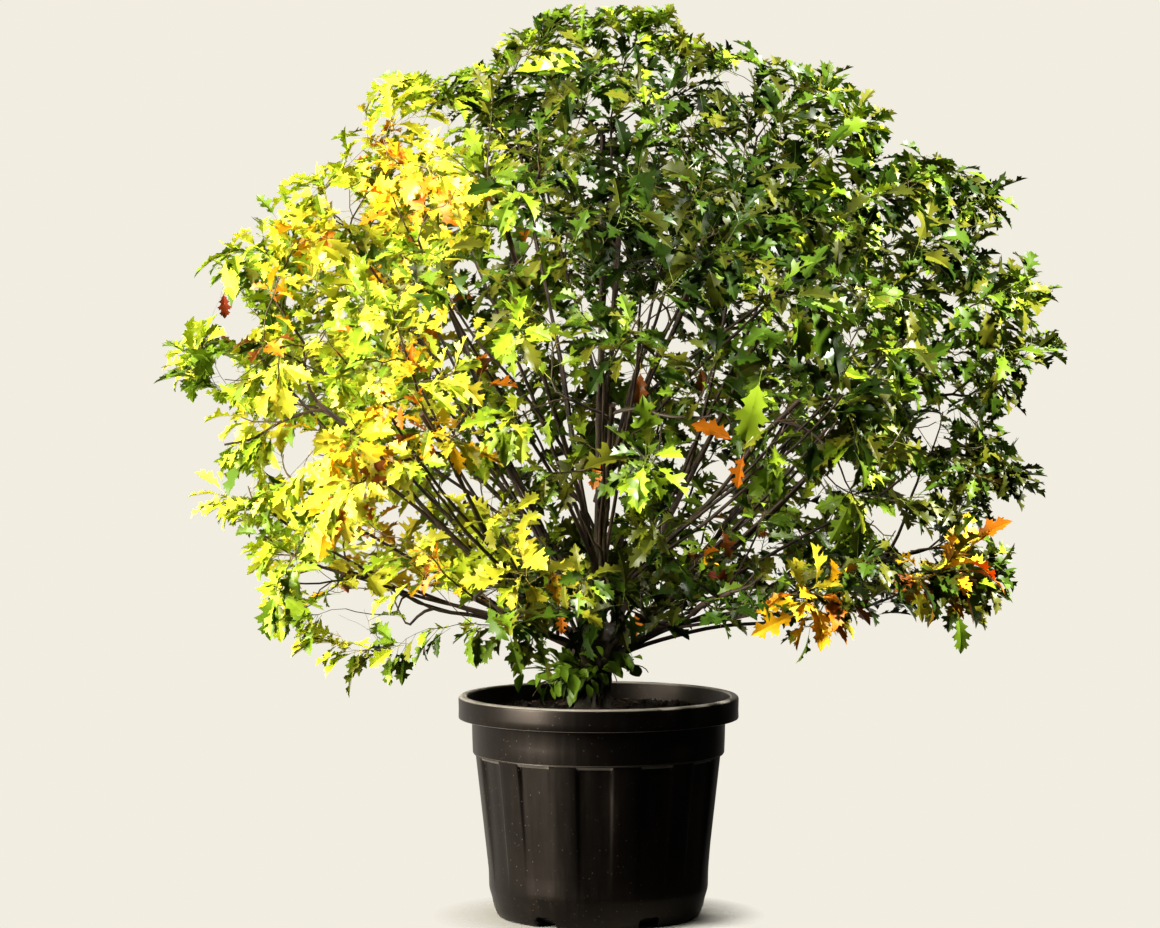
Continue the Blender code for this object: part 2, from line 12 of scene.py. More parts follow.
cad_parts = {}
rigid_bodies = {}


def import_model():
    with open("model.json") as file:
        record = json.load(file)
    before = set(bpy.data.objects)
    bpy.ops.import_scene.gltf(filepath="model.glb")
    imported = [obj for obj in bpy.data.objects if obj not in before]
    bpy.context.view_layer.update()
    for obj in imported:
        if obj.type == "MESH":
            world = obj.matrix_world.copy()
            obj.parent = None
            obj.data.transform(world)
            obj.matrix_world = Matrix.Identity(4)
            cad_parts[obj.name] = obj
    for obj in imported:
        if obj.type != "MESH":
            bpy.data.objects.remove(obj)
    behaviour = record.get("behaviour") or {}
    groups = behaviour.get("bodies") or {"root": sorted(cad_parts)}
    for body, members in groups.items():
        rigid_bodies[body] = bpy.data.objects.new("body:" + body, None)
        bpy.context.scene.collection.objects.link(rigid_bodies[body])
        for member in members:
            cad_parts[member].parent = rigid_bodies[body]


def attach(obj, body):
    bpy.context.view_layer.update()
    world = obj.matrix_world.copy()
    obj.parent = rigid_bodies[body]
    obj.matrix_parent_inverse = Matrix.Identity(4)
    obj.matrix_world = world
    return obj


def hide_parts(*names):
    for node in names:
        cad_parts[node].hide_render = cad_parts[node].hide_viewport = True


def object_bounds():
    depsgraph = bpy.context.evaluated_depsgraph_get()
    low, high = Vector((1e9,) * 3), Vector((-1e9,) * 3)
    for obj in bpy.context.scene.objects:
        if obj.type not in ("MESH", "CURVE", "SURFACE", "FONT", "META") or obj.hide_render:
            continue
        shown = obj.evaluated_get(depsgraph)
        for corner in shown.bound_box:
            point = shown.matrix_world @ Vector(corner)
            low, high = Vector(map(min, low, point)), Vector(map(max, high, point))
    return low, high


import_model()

cadLow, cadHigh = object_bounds()
# the noise that bends boughs and twigs starts at the same place in every run
noise.seed_set(2)
fullTurn = math.tau


# Shared helpers

def newObject(name, data):
    # an object in the scene, its data under the same name
    data.name = name
    item = bpy.data.objects.new(name, data)
    bpy.context.scene.collection.objects.link(item)
    return item


def addPiece(name, mesh, finish, slotName, *nodes):
    # puts a finished mesh into the scene, at the origin, in place of the nodes it stands for
    mesh.materials.clear()
    mesh.materials.append(finish)
    piece = newObject(name, mesh)
    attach(piece, "root")
    if nodes:
        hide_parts(*nodes)
    return piece


def smoothed(mesh, sharpAngle):
    mesh.shade_smooth()
    mesh.set_sharp_from_angle(angle=math.radians(sharpAngle))
    return mesh


def meshOf(bm, sharpAngle=40):
    mesh = bpy.data.meshes.new("mesh")
    bm.to_mesh(mesh)
    bm.free()
    return smoothed(mesh, sharpAngle)


def joinedMesh(shapes, sharpAngle=50):
    # one mesh from many (corners, faces) pairs
    corners, faces = [], []
    for shapeCorners, shapeFaces in shapes:
        first = len(corners)
        corners.extend(shapeCorners)
        faces.extend(tuple(corner + first for corner in face) for face in shapeFaces)
    mesh = bpy.data.meshes.new("mesh")
    mesh.from_pydata(corners, [], faces)
    return smoothed(mesh, sharpAngle)


def ringStack(rings):
    # joins rings of points by extruding the first one through the others, closed at both ends
    bm = bmesh.new()
    count = len(rings[0])
    ring = bmesh.ops.create_circle(bm, segments=count, radius=1.0)["verts"]
    for vert, place in zip(ring, rings[0]):
        vert.co = place
    bmesh.ops.contextual_create(bm, geom=ring)
    for places in rings[1:]:
        edges = [bm.edges.get((ring[i - 1], ring[i])) for i in range(count)]
        grown = bmesh.ops.extrude_edge_only(bm, edges=edges)["geom"]
        above = [item for item in grown if isinstance(item, bmesh.types.BMVert)]
        following = {edge.other_vert(vert): vert for vert in above for edge in vert.link_edges}
        ring = [following[vert] for vert in ring]
        for vert, place in zip(ring, places):
            vert.co = place
    bmesh.ops.contextual_create(bm, geom=ring)
    bmesh.ops.recalc_face_normals(bm, faces=bm.faces)
    return bm


def outward(turn):
    return Vector((math.cos(math.radians(turn)), math.sin(math.radians(turn)), 0))


def upward(height):
    return Vector((0, 0, height))


def levelRing(turns, radius, height):
    return [outward(turn) * radius + upward(height) for turn in turns]


def smoothStep(value, low, high):
    share = max(0.0, min(1.0, (value - low) / (high - low)))
    return share * share * (3 - 2 * share)


# Shader nodes, and the groups that several finishes share

def feed(tree, socket, value):
    # gives a socket another node's output, a colour, a vector or a number
    if isinstance(value, bpy.types.NodeSocket):
        tree.links.new(value, socket)
    elif socket.type == "RGBA":
        socket.default_value = (*value, 1.0)
    else:
        socket.default_value = value


def addNode(tree, kind, inputs, **settings):
    node = tree.nodes.new(f"ShaderNode{kind}")
    for label, value in settings.items():
        setattr(node, label, value)
    for label, value in inputs.items():
        feed(tree, node.inputs[label], value)
    return node


def mixColour(tree, factor, first, second):
    return addNode(tree, "Mix", {0: factor, 6: first, 7: second}, data_type="RGBA").outputs[2]


def multiplied(tree, first, second):
    return addNode(tree, "Math", {0: first, 1: second}, operation="MULTIPLY").outputs["Value"]


def mapRange(tree, value, fromLow, fromHigh, toLow, toHigh):
    inputs = {"Value": value, "From Min": fromLow, "From Max": fromHigh, "To Min": toLow, "To Max": toHigh}
    return addNode(tree, "MapRange", inputs).outputs["Result"]


def newGroup(name, inputs, outputs):
    # an input without a value of its own is a vector
    group = bpy.data.node_groups.new(name, "ShaderNodeTree")
    for label, value in inputs.items():
        kind = "Vector" if value is None else "Color" if isinstance(value, tuple) else "Float"
        socket = group.interface.new_socket(label, in_out="INPUT", socket_type=f"NodeSocket{kind}")
        if value is not None:
            socket.default_value = value
    for label, kind in outputs.items():
        group.interface.new_socket(label, in_out="OUTPUT", socket_type=f"NodeSocket{kind}")
    return group, group.nodes.new("NodeGroupInput").outputs, group.nodes.new("NodeGroupOutput").inputs


def makeMottle():
    # cloudy change from a dark to a light colour
    inputs = {"Vector": None, "Scale": 20.0, "Dark": (0, 0, 0, 1), "Light": (1, 1, 1, 1)}
    group, given, result = newGroup("mottle", inputs, {"Color": "Color", "Value": "Float"})
    inputs = {"Vector": given["Vector"], "Scale": given["Scale"], "Detail": 5.0, "Roughness": 0.62}
    cloud = addNode(group, "TexNoise", inputs)
    value = mapRange(group, cloud.outputs["Fac"], 0.34, 0.66, 0.0, 1.0)
    feed(group, result["Color"], mixColour(group, value, given["Dark"], given["Light"]))
    feed(group, result["Value"], value)
    return group


def makeSpecks():
    # small round specks: 1 inside a speck, 0 outside
    inputs = {"Vector": None, "Scale": 200.0, "Size": 0.2}
    group, given, result = newGroup("specks", inputs, {"Mask": "Float"})
    cells = addNode(group, "TexVoronoi", {"Vector": given["Vector"], "Scale": given["Scale"]})
    inside = addNode(group, "Math", {0: given["Size"], 1: cells.outputs["Distance"]}, operation="SUBTRACT")
    feed(group, result["Mask"], mapRange(group, inside.outputs["Value"], 0.0, 0.05, 0.0, 1.0))
    return group


def makeStreaks():
    # fine streaks drawn out along the surface's own Z
    inputs = {"Vector": None, "Scale": 60.0, "Stretch": 0.12}
    group, given, result = newGroup("streaks", inputs, {"Value": "Float"})
    stretch = addNode(group, "CombineXYZ", {"X": 1.0, "Y": 1.0, "Z": given["Stretch"]})
    factors = {0: given["Vector"], 1: stretch.outputs["Vector"]}
    drawn = addNode(group, "VectorMath", factors, operation="MULTIPLY").outputs["Vector"]
    inputs = {"Vector": drawn, "Scale": given["Scale"], "Detail": 7.0, "Roughness": 0.6}
    grain = addNode(group, "TexNoise", inputs)
    feed(group, result["Value"], mapRange(group, grain.outputs["Fac"], 0.30, 0.70, 0.0, 1.0))
    return group


mottle, specks, streaks = makeMottle(), makeSpecks(), makeStreaks()


def newFinish(name, roughness):
    finish = bpy.data.materials.new(name)
    finish.use_nodes = True
    tree = finish.node_tree
    shader = tree.nodes["Principled BSDF"]
    feed(tree, shader.inputs["Roughness"], roughness)
    return finish, tree, shader.inputs


def objectPlace(tree):
    return addNode(tree, "TexCoord", {}).outputs["Object"]


def useGroup(tree, group, vector, **values):
    return addNode(tree, "Group", {"Vector": vector, **values}, node_tree=group).outputs


def addBump(tree, surface, height, strength, distance):
    bump = addNode(tree, "Bump", {"Strength": strength, "Distance": distance, "Height": height})
    feed(tree, surface["Normal"], bump.outputs["Normal"])


# Pot

pot = {
    "height": 0.316, "wall": 0.003,
    "rimRadius": 0.2000, "rimDrop": 0.0320, "lipRadius": 0.1895,
    "collarTop": 0.1795, "collarBottom": 0.1780, "collarFoot": 0.2350,
    "bodyTop": 0.1744, "bodyFoot": 0.1546, "footLean": 0.0022, "baseRadius": 0.1440,
    "fluteCount": 12, "fluteTurn": -92.0, "fluteDepth": 0.0045, "fluteFoot": 0.0380, "fluteFade": 0.034,
    "fluteLow": 0.22, "fluteGap": 0.0065, "recessHalf": 6.8, "ribEdge": 9.4,
    # turns of two more corners, in each recess and on each rib
    "inRecess": 3.3, "onRib": 12.0,
    "drainCount": 6, "drainTurn": -1.0, "drainReach": 0.05, "drainWidth": 0.032, "drainHeight": 0.015,
    "drainRound": 0.006,
    "black": (0.0012, 0.0009, 0.0008), "worn": (0.0060, 0.0044, 0.0034), "sheen": (1.0, 0.86, 0.74),
    # after the dust come two painted light colours: a painted reflection on the recesses' down-facing tops
    # and a painted highlight along the lip
    "dust": (0.110, 0.090, 0.070), "ledgeReflection": (0.20, 0.180, 0.155), "lip": (0.42, 0.385, 0.34),
    "roughness": 0.36, "gloss": 0.36,
}


def makePotFinish():
    finish, tree, surface = newFinish("potPlastic", pot["roughness"])
    feed(tree, surface["Specular Tint"], pot["sheen"])
    feed(tree, surface["Specular IOR Level"], pot["gloss"])
    place = objectPlace(tree)
    cloud = useGroup(tree, mottle, place, Scale=9.0, Dark=pot["black"], Light=pot["worn"])
    scuffs = useGroup(tree, streaks, place, Scale=110.0, Stretch=0.06)["Value"]
    grit = useGroup(tree, specks, place, Scale=120.0, Size=0.13)
    drift = useGroup(tree, mottle, place, Scale=14.0)
    film = mapRange(tree, scuffs, 0.55, 1.0, 0.0, 0.022)
    filmed = mixColour(tree, film, cloud["Color"], pot["dust"])
    dusty = mapRange(tree, multiplied(tree, grit["Mask"], drift["Value"]), 0.0, 1.0, 0.0, 0.75)
    dusted = mixColour(tree, dusty, filmed, pot["dust"])
    # painted reflection: the slanted tops of the recesses face down and are painted pale, standing in for the
    # light they catch off the pale floor
    height = addNode(tree, "SeparateXYZ", {0: place}).outputs["Z"]
    slant = addNode(tree, "SeparateXYZ", {0: addNode(tree, "NewGeometry", {}).outputs["Normal"]}).outputs["Z"]
    atLedge = mapRange(tree, height, 0.222, 0.226, 0.0, 1.0)
    facingDown = mapRange(tree, slant, -0.30, -0.62, 0.0, 0.9)
    ledgeReflected = mixColour(tree, multiplied(tree, atLedge, facingDown), dusted, pot["ledgeReflection"])
    # painted highlight: a pale line along the lip's top, standing in for the light it catches
    lipHighlightMask = mapRange(tree, height, pot["height"] - 0.0028, pot["height"] - 0.0012, 0.0, 0.9)
    feed(tree, surface["Base Color"], mixColour(tree, lipHighlightMask, ledgeReflected, pot["lip"]))
    rough = mapRange(tree, scuffs, 0.0, 1.0, pot["roughness"] - 0.02, pot["roughness"] + 0.05)
    feed(tree, surface["Roughness"], rough)
    addBump(tree, surface, scuffs, 0.07, 0.0005)
    return finish


def fluteSink(turn):
    # 1 in a recess, 0 on a rib
    step = 360 / pot["fluteCount"]
    offset = abs((turn - pot["fluteTurn"] + step / 2) % step - step / 2)
    return 1 - smoothStep(offset, pot["recessHalf"], pot["ribEdge"])


def potTurns():
    # turns of the corners round the pot, closer together at the ribs' edges
    half = 180 / pot["fluteCount"]
    low, high = pot["recessHalf"], pot["ribEdge"]
    edge = [low + (high - low) * share for share in (0, 0.3, 0.5, 0.7, 1)]
    halfSteps = [pot["inRecess"]] + edge + [pot["onRib"]]
    steps = [-step for step in reversed(halfSteps)] + [0.0] + halfSteps + [half]
    turns = []
    for flute in range(pot["fluteCount"]):
        turns += [pot["fluteTurn"] + 2 * half * flute + step for step in steps]
    return turns


def roundCorner(middleRadius, middleHeight, size, first, last, count):
    # (radius, height, share) along an arc, its angles in degrees from the level
    points = []
    for step in range(count + 1):
        angle = math.radians(first + (last - first) * step / count)
        points.append((middleRadius + size * math.cos(angle), middleHeight + size * math.sin(angle), 0.0))
    return points


def potProfile():
    # (radius, height, share of the flutes' depth), from the base, up the outside and down the inside
    wall, base, lean = pot["wall"], pot["baseRadius"], pot["footLean"]
    half = wall / 2
    top, drop = pot["height"], pot["height"] - pot["rimDrop"]
    rim, lip = pot["rimRadius"], pot["lipRadius"]
    collar, collarTop, collarBottom = pot["collarFoot"], pot["collarTop"], pot["collarBottom"]
    bodyTop, bodyFoot = pot["bodyTop"], pot["bodyFoot"]
    foot, fade, shallow = pot["fluteFoot"], pot["fluteFade"], pot["fluteLow"]
    fluteTop = collar - pot["fluteGap"]
    outer = [(0.020, 0.0030, 0), (0.110, 0.0030, 0), (0.1180, 0.0008, 0), (0.1240, 0.0, 0)]
    outer += roundCorner(base - 0.0050, 0.0060, 0.0060, -90, -30, 4)
    outer += [(base + 0.0033, 0.0085, 0), (base + 0.0060, 0.0165, 0), (base + 0.0082, 0.0270, 0)]
    outer.append((bodyFoot + half - 0.0006, foot, 0))
    for share in (0.15, 0.3, 0.45, 0.6, 0.75, 0.9, 1.0):
        depth = shallow * smoothStep(share, 0.0, 1.0)
        outer.append((bodyFoot + half + lean * share, foot + fade * share, depth))
    for share in (0.15, 0.3, 0.5, 0.75, 1.0):
        radius = bodyFoot + lean + (bodyTop - bodyFoot - lean) * share + half
        height = foot + fade + (fluteTop - foot - fade) * share
        outer.append((radius, height, shallow + (1 - shallow) * share**0.8))
    for share in (0.9, 0.45, 0.1, 0.0):
        outer.append((bodyTop + half + 0.0004 * (1 - share), fluteTop + 0.0040 * (1 - share), share))
    outer += [(bodyTop + 0.0040, collar - 0.0016, 0), (collarBottom + 0.0002, collar - 0.0008, 0)]
    outer += roundCorner(collarBottom, collar + 0.0008, 0.0016, -60, 0, 3)
    outer += [(collarTop + 0.0008, collar + 0.020, 0), (collarTop + half, drop, 0)]
    outer += [(collarTop + 0.0065, drop + 0.0150, 0), (rim - wall - 0.0030, top - 0.0060, 0)]
    outer += [(rim - wall, top - 0.0090, 0), (rim - wall, drop + 0.0010, 0)]
    outer += roundCorner(rim - half, drop + 0.0014, 0.0014, -160, -10, 4)
    outer.append((rim - 0.0004, drop + 0.0120, 0))
    outer += roundCorner(rim - 0.0046, top - 0.0046, 0.0046, 0, 90, 6)
    outer.append((lip + 0.0012, top, 0))
    outer += roundCorner(lip + 0.0008, top - 0.0024, 0.0024, 100, 175, 3)
    inner = [(collarTop + 0.0040, drop + 0.0100, 0), (collarTop - half, drop - 0.0010, 0)]
    inner += [(collarBottom - half, collar + 0.0040, 0), (bodyTop - half, collar - 0.0090, 1.0)]
    inner += [(bodyFoot + lean - half, foot + fade, shallow), (bodyFoot - wall, foot - 0.0020, 0)]
    inner += [(base + 0.0028, 0.0170, 0), (base - 0.0060, 0.0062, 0), (0.1160, 0.0060, 0), (0.020, 0.0060, 0)]
    return outer + inner


def makePot(finish):
    turns = potTurns()
    rings = []
    for radius, height, share in potProfile():
        sunk = pot["fluteDepth"] * share
        rings.append([outward(turn) * (radius - sunk * fluteSink(turn)) + upward(height) for turn in turns])
    shell = newObject("shell", meshOf(ringStack(rings)))
    cutter = bmesh.new()
    for index in range(pot["drainCount"]):
        # a box across the wall, its two upper edges rounded
        notch = bmesh.ops.create_cube(cutter, size=1.0)["verts"]
        size = (pot["drainReach"], pot["drainWidth"], pot["drainHeight"] * 2)
        bmesh.ops.scale(cutter, verts=notch, vec=size)
        edges = dict.fromkeys(edge for vert in notch for edge in vert.link_edges)
        upper = [edge for edge in edges if all(vert.co.z > 0 for vert in edge.verts)
                 and abs(edge.verts[0].co.y - edge.verts[1].co.y) < 1e-6]
        rounded = bmesh.ops.bevel(cutter, geom=upper, offset=pot["drainRound"], offset_type="OFFSET",
                                  segments=4, profile=0.5, affect="EDGES", material=-1)["verts"]
        notch = list(dict.fromkeys([vert for vert in notch if vert.is_valid] + rounded))
        bmesh.ops.translate(cutter, verts=notch, vec=(pot["baseRadius"], 0, 0))
        turn = math.radians(360 / pot["drainCount"] * index + pot["drainTurn"])
        bmesh.ops.rotate(cutter, verts=notch, matrix=Matrix.Rotation(turn, 3, "Z"))
    tool = newObject("drainNotches", meshOf(cutter))
    cut = shell.modifiers.new("drains", "BOOLEAN")
    cut.operation, cut.solver, cut.object = "DIFFERENCE", "EXACT", tool
    bpy.context.view_layer.update()
    mesh = bpy.data.meshes.new_from_object(shell.evaluated_get(bpy.context.evaluated_depsgraph_get()))
    for spare in (shell, tool):
        bpy.data.objects.remove(spare)
    return addPiece("potShell", mesh, finish, "pot", "pot")


potPiece = makePot(makePotFinish())
print(f"pot: {len(potPiece.data.polygons)} faces")


# Compost, with crumbs and chips on it

compost = {
    "edgeRadius": 0.1776, "edge": 0.2920, "top": 0.2970, "flat": 0.055, "innermost": 0.006,
    "sides": 150, "ringStep": 0.0034, "lump": 0.0040,
    # rings of the part inside the pot: radius, height
    "inside": ((0.1280, 0.0065), (0.1435, 0.0200), (0.1450, 0.0470), (0.1640, 0.2240), (0.1755, 0.2430)),
    # crumbs and chips lie within this radius, and keep clear of the trunk
    "strewn": 0.170, "clear": 0.042, "trunkAcross": -0.01,
    "crumbs": 420, "crumbSize": (0.0016, 0.0050), "chips": 90, "chipSize": (0.006, 0.017),
    "dark": (0.0105, 0.0070, 0.0045), "light": (0.042, 0.028, 0.018), "pale": (0.23, 0.17, 0.11),
    "chip": (0.16, 0.095, 0.050), "chipDark": (0.035, 0.021, 0.012),
}


def makeCompostFinish():
    finish, tree, surface = newFinish("compostFinish", 0.95)
    place = objectPlace(tree)
    clods = useGroup(tree, mottle, place, Scale=95.0, Dark=compost["dark"], Light=compost["light"])
    bits = useGroup(tree, specks, place, Scale=210.0, Size=0.16)
    pale = mapRange(tree, bits["Mask"], 0.0, 1.0, 0.0, 0.55)
    feed(tree, surface["Base Color"], mixColour(tree, pale, clods["Color"], compost["pale"]))
    addBump(tree, surface, clods["Value"], 0.9, 0.0025)
    return finish


def makeMottledFinish(name, roughness, scale, dark, light):
    finish, tree, surface = newFinish(name, roughness)
    grain = useGroup(tree, mottle, objectPlace(tree), Scale=scale, Dark=dark, Light=light)
    feed(tree, surface["Base Color"], grain["Color"])
    return finish


def fromTrunk(x, y):
    return math.hypot(x - compost["trunkAcross"], y)


def compostHeight(x, y):
    # a low mound with lumps, flat and firm round the trunk
    fall = smoothStep(math.hypot(x, y), compost["flat"], compost["edgeRadius"])
    rough = noise.noise(Vector((x, y, 0)) * 38) + 0.6 * noise.noise(Vector((x, y, 3)) * 110)
    lump = compost["lump"] * rough * (0.25 + 0.75 * smoothStep(fromTrunk(x, y), 0.028, 0.060))
    return compost["top"] - (compost["top"] - compost["edge"]) * fall + lump - 0.0006


def makeCompost(finish):
    turns = [360 * step / compost["sides"] for step in range(compost["sides"])]
    rings = [levelRing(turns, radius, height) for radius, height in compost["inside"]]
    radius = compost["edgeRadius"]
    while radius > compost["innermost"]:
        ring = levelRing(turns, radius, 0)
        for corner in ring:
            corner.z = compostHeight(corner.x, corner.y)
        rings.append(ring)
        radius -= compost["ringStep"]
    addPiece("compost", meshOf(ringStack(rings), 60), finish, "compost", "soil")


def scatterPlace(rng):
    # a place on the compost, clear of the trunk
    reach = compost["strewn"]
    while True:
        x, y = rng.uniform(-reach, reach), rng.uniform(-reach, reach)
        if math.hypot(x, y) < reach and fromTrunk(x, y) > compost["clear"]:
            return Vector((x, y, compostHeight(x, y)))


def makeCrumbs(finish):
    rng = random.Random(11)
    bm = bmesh.new()
    for _ in range(compost["crumbs"]):
        size = rng.uniform(*compost["crumbSize"])
        place = scatterPlace(rng) + upward(size * 0.25)
        angle = rng.uniform(0, fullTurn)
        turn = Matrix.Rotation(angle, 4, Vector((rng.random(), rng.random(), rng.random())))
        squash = Matrix.Diagonal((1.0, rng.uniform(0.5, 0.9), rng.uniform(0.4, 0.8), 1.0))
        matrix = Matrix.Translation(place) @ turn @ squash
        bmesh.ops.create_icosphere(bm, subdivisions=1, radius=size, matrix=matrix)
    addPiece("compostCrumbs", meshOf(bm, 20), finish, "compost")


def makeChips(finish):
    rng = random.Random(12)
    bm = bmesh.new()
    for _ in range(compost["chips"]):
        length = rng.uniform(*compost["chipSize"])
        place = scatterPlace(rng) + upward(0.0018)
        turn = Matrix.Rotation(rng.uniform(0, fullTurn), 4, "Z") @ Matrix.Rotation(rng.gauss(0, 0.3), 4, "Y")
        shape = Matrix.Diagonal((length, length * rng.uniform(0.12, 0.45), rng.uniform(0.0008, 0.0022), 1.0))
        chip = bmesh.ops.create_cube(bm, size=1.0, matrix=Matrix.Translation(place) @ turn @ shape)["verts"]
        for vert in chip:
            vert.co += Vector((rng.uniform(-0.1, 0.1), rng.uniform(-0.1, 0.1), 0)) * length * 0.5
    addPiece("compostChips", meshOf(bm, 20), finish, "compost")


compostFinish = makeCompostFinish()
makeCompost(compostFinish)
makeCrumbs(compostFinish)
makeChips(makeMottledFinish("woodChip", 0.85, 60.0, compost["chipDark"], compost["chip"]))
print("compost: done")


# Trunk

trunk = {
    "foot": Vector((-0.0100, 0.0, 0.2893)), "fork": Vector((0.0, 0.0, 0.4200)),
    "sway": Vector((0.003, 0.004, 0)), "waist": 0.0210, "flare": 0.0115, "flareFade": 11,
    "head": 0.0170, "headFrom": 0.42, "headOver": 0.40, "domeFrom": 0.86, "domeOver": 0.15,
    "rootCount": 5, "rootHeight": 0.005, "rootFade": 9,
    "sides": 60, "rings": 64, "furrow": 0.0014, "burr": 0.0030,
}
bark = {
    "dark": (0.009, 0.0045, 0.003), "moss": (0.070, 0.064, 0.020), "spot": (0.20, 0.165, 0.12),
    # one bark in two copies: the boughs' copy is paler and more olive than the trunk's, partly painted light
    # on the lit boughs on top of their own bark colour
    "trunkLight": (0.034, 0.024, 0.015), "trunkMoss": 0.25,
    "boughLight": (0.088, 0.056, 0.035), "boughMoss": 0.60, "roughness": 0.72,
}


def makeBarkFinish(name, spotScale, grainScale, light, mossShare):
    finish, tree, surface = newFinish(name, bark["roughness"])
    place = objectPlace(tree)
    grain = useGroup(tree, streaks, place, Scale=grainScale, Stretch=0.22)["Value"]
    cloud = useGroup(tree, mottle, place, Scale=16.0)
    spots = useGroup(tree, specks, place, Scale=spotScale, Size=0.15)
    woody = mixColour(tree, grain, bark["dark"], light)
    olive = mapRange(tree, cloud["Value"], 0.35, 1.0, 0.0, mossShare)
    mossy = mixColour(tree, olive, woody, bark["moss"])
    pores = mapRange(tree, spots["Mask"], 0.0, 1.0, 0.0, 0.55)
    feed(tree, surface["Base Color"], mixColour(tree, pores, mossy, bark["spot"]))
    rough = mapRange(tree, grain, 0.0, 1.0, bark["roughness"] + 0.14, bark["roughness"] - 0.10)
    feed(tree, surface["Roughness"], rough)
    addBump(tree, surface, grain, 0.55, 0.0012)
    return finish


def trunkRadius(share):
    # flared at its foot, swollen at its head and closed in a dome
    flare = trunk["flare"] * math.exp(-share * trunk["flareFade"])
    head = trunk["head"] * max(0.0, min(1.0, (share - trunk["headFrom"]) / trunk["headOver"])) ** 1.3
    dome = math.sqrt(max(0.0, 1 - max(0.0, (share - trunk["domeFrom"]) / trunk["domeOver"]) ** 2.4))
    return (trunk["waist"] + flare + head) * dome


def trunkPoint(share):
    return trunk["foot"].lerp(trunk["fork"], share) + trunk["sway"] * math.sin(share * math.pi)


def makeTrunk(finish):
    rings = []
    for step in range(trunk["rings"] + 1):
        # the last ring stops just short of the dome's tip
        share = 0.995 * step / trunk["rings"]
        middle, radius, ring = trunkPoint(share), trunkRadius(share), []
        for side in range(trunk["sides"]):
            angle = fullTurn * side / trunk["sides"]
            level = Vector((math.cos(angle), math.sin(angle), 0))
            root = trunk["rootHeight"] * math.exp(-share * trunk["rootFade"])
            root *= math.cos(angle * trunk["rootCount"] + 0.6)
            twisted = Vector((math.cos(angle + share) * 3.2, math.sin(angle + share) * 3.2, share * 2.4))
            furrow = trunk["furrow"] * (1 - abs(noise.noise(twisted * 1.9)) * 4)
            burr = trunk["burr"] * noise.noise(Vector((level.x * 1.3, level.y * 1.3, share * 5)))
            reach = max(0.004, radius + root + (furrow + burr) * min(1.0, radius / 0.02))
            ring.append(middle + level * reach)
        rings.append(ring)
    for corner in rings[0]:
        corner.z = trunk["foot"].z
    return addPiece("trunkBark", meshOf(ringStack(rings), 60), finish, "bark", "trunk")


# Boughs, by the same rule as the solids, but steeper where the skirt's leave the trunk

crown = {
    "middle": Vector((0.023, 0.0, 0.790)), "halfWidth": 0.665, "halfDepth": 0.610,
    "halfUp": 0.550, "halfDown": 0.470, "floor": 0.365, "topPower": 1.5, "footPower": 3.5,
    # (height, reach) of the foliage on each side of the pot's middle, seen from the front
    "reachLeft": (
        (0.395, 0.03), (0.410, 0.490), (0.467, 0.478), (0.510, 0.492), (0.567, 0.508), (0.588, 0.546),
        (0.624, 0.536), (0.666, 0.520), (0.695, 0.512), (0.737, 0.528), (0.752, 0.552), (0.762, 0.582),
        (0.776, 0.608), (0.808, 0.614), (0.835, 0.588), (0.850, 0.555), (0.864, 0.500), (0.876, 0.505),
        (0.890, 0.530), (0.908, 0.552), (0.936, 0.568), (0.958, 0.535), (0.970, 0.485), (1.000, 0.448),
        (1.036, 0.436), (1.060, 0.406), (1.093, 0.354), (1.120, 0.335), (1.157, 0.318), (1.190, 0.300),
        (1.203, 0.275), (1.208, 0.180), (1.235, 0.145), (1.262, 0.120), (1.285, 0.088), (1.303, 0.06),
    ),
    "reachRight": (
        (0.395, 0.03), (0.420, 0.510), (0.446, 0.568), (0.480, 0.586), (0.530, 0.576), (0.558, 0.545),
        (0.595, 0.562), (0.610, 0.602), (0.626, 0.624), (0.652, 0.606), (0.695, 0.578), (0.737, 0.590),
        (0.780, 0.594), (0.800, 0.655), (0.815, 0.662), (0.844, 0.622), (0.865, 0.600), (0.880, 0.624),
        (0.898, 0.656), (0.915, 0.614), (0.950, 0.572), (0.965, 0.542), (1.000, 0.549), (1.008, 0.582),
        (1.043, 0.576), (1.072, 0.550), (1.088, 0.460), (1.095, 0.413), (1.122, 0.406), (1.170, 0.392),
        (1.200, 0.366), (1.212, 0.335), (1.226, 0.262), (1.238, 0.210), (1.250, 0.184), (1.271, 0.128),
        (1.290, 0.108), (1.303, 0.09),
    ),
    # (x, height) of the foliage's lower edge, seen from the front
    "hem": (
        (-0.60, 0.410), (-0.49, 0.410), (-0.44, 0.430), (-0.36, 0.445), (-0.28, 0.465), (-0.20, 0.455),
        (-0.13, 0.415), (0.03, 0.412), (0.07, 0.440), (0.20, 0.455), (0.28, 0.440), (0.40, 0.455),
        (0.46, 0.420), (0.56, 0.415), (0.62, 0.445),
    ),
    "depthShare": 0.93, "deepest": 0.558, "roughness": 0.05, "slack": 0.010,
}
bough = {
    "rings": 7, "slim": 0.62, "slimSkirt": 0.46, "footSunk": 0.012, "footAside": 0.018, "tipRadius": 0.0046,
    "ringStep": 0.009, "sides": 12, "collar": 1.35, "collarLength": 0.030, "relief": 0.0007, "joint": 0.0008,
    "knuckles": 5, "drift": 0.0035, "upright": 80,
    # shares of the way: to where a bough enters its mass, and how long it keeps its first and last heading
    "entry": 0.66, "leave": 0.36, "arrive": 0.30,
}
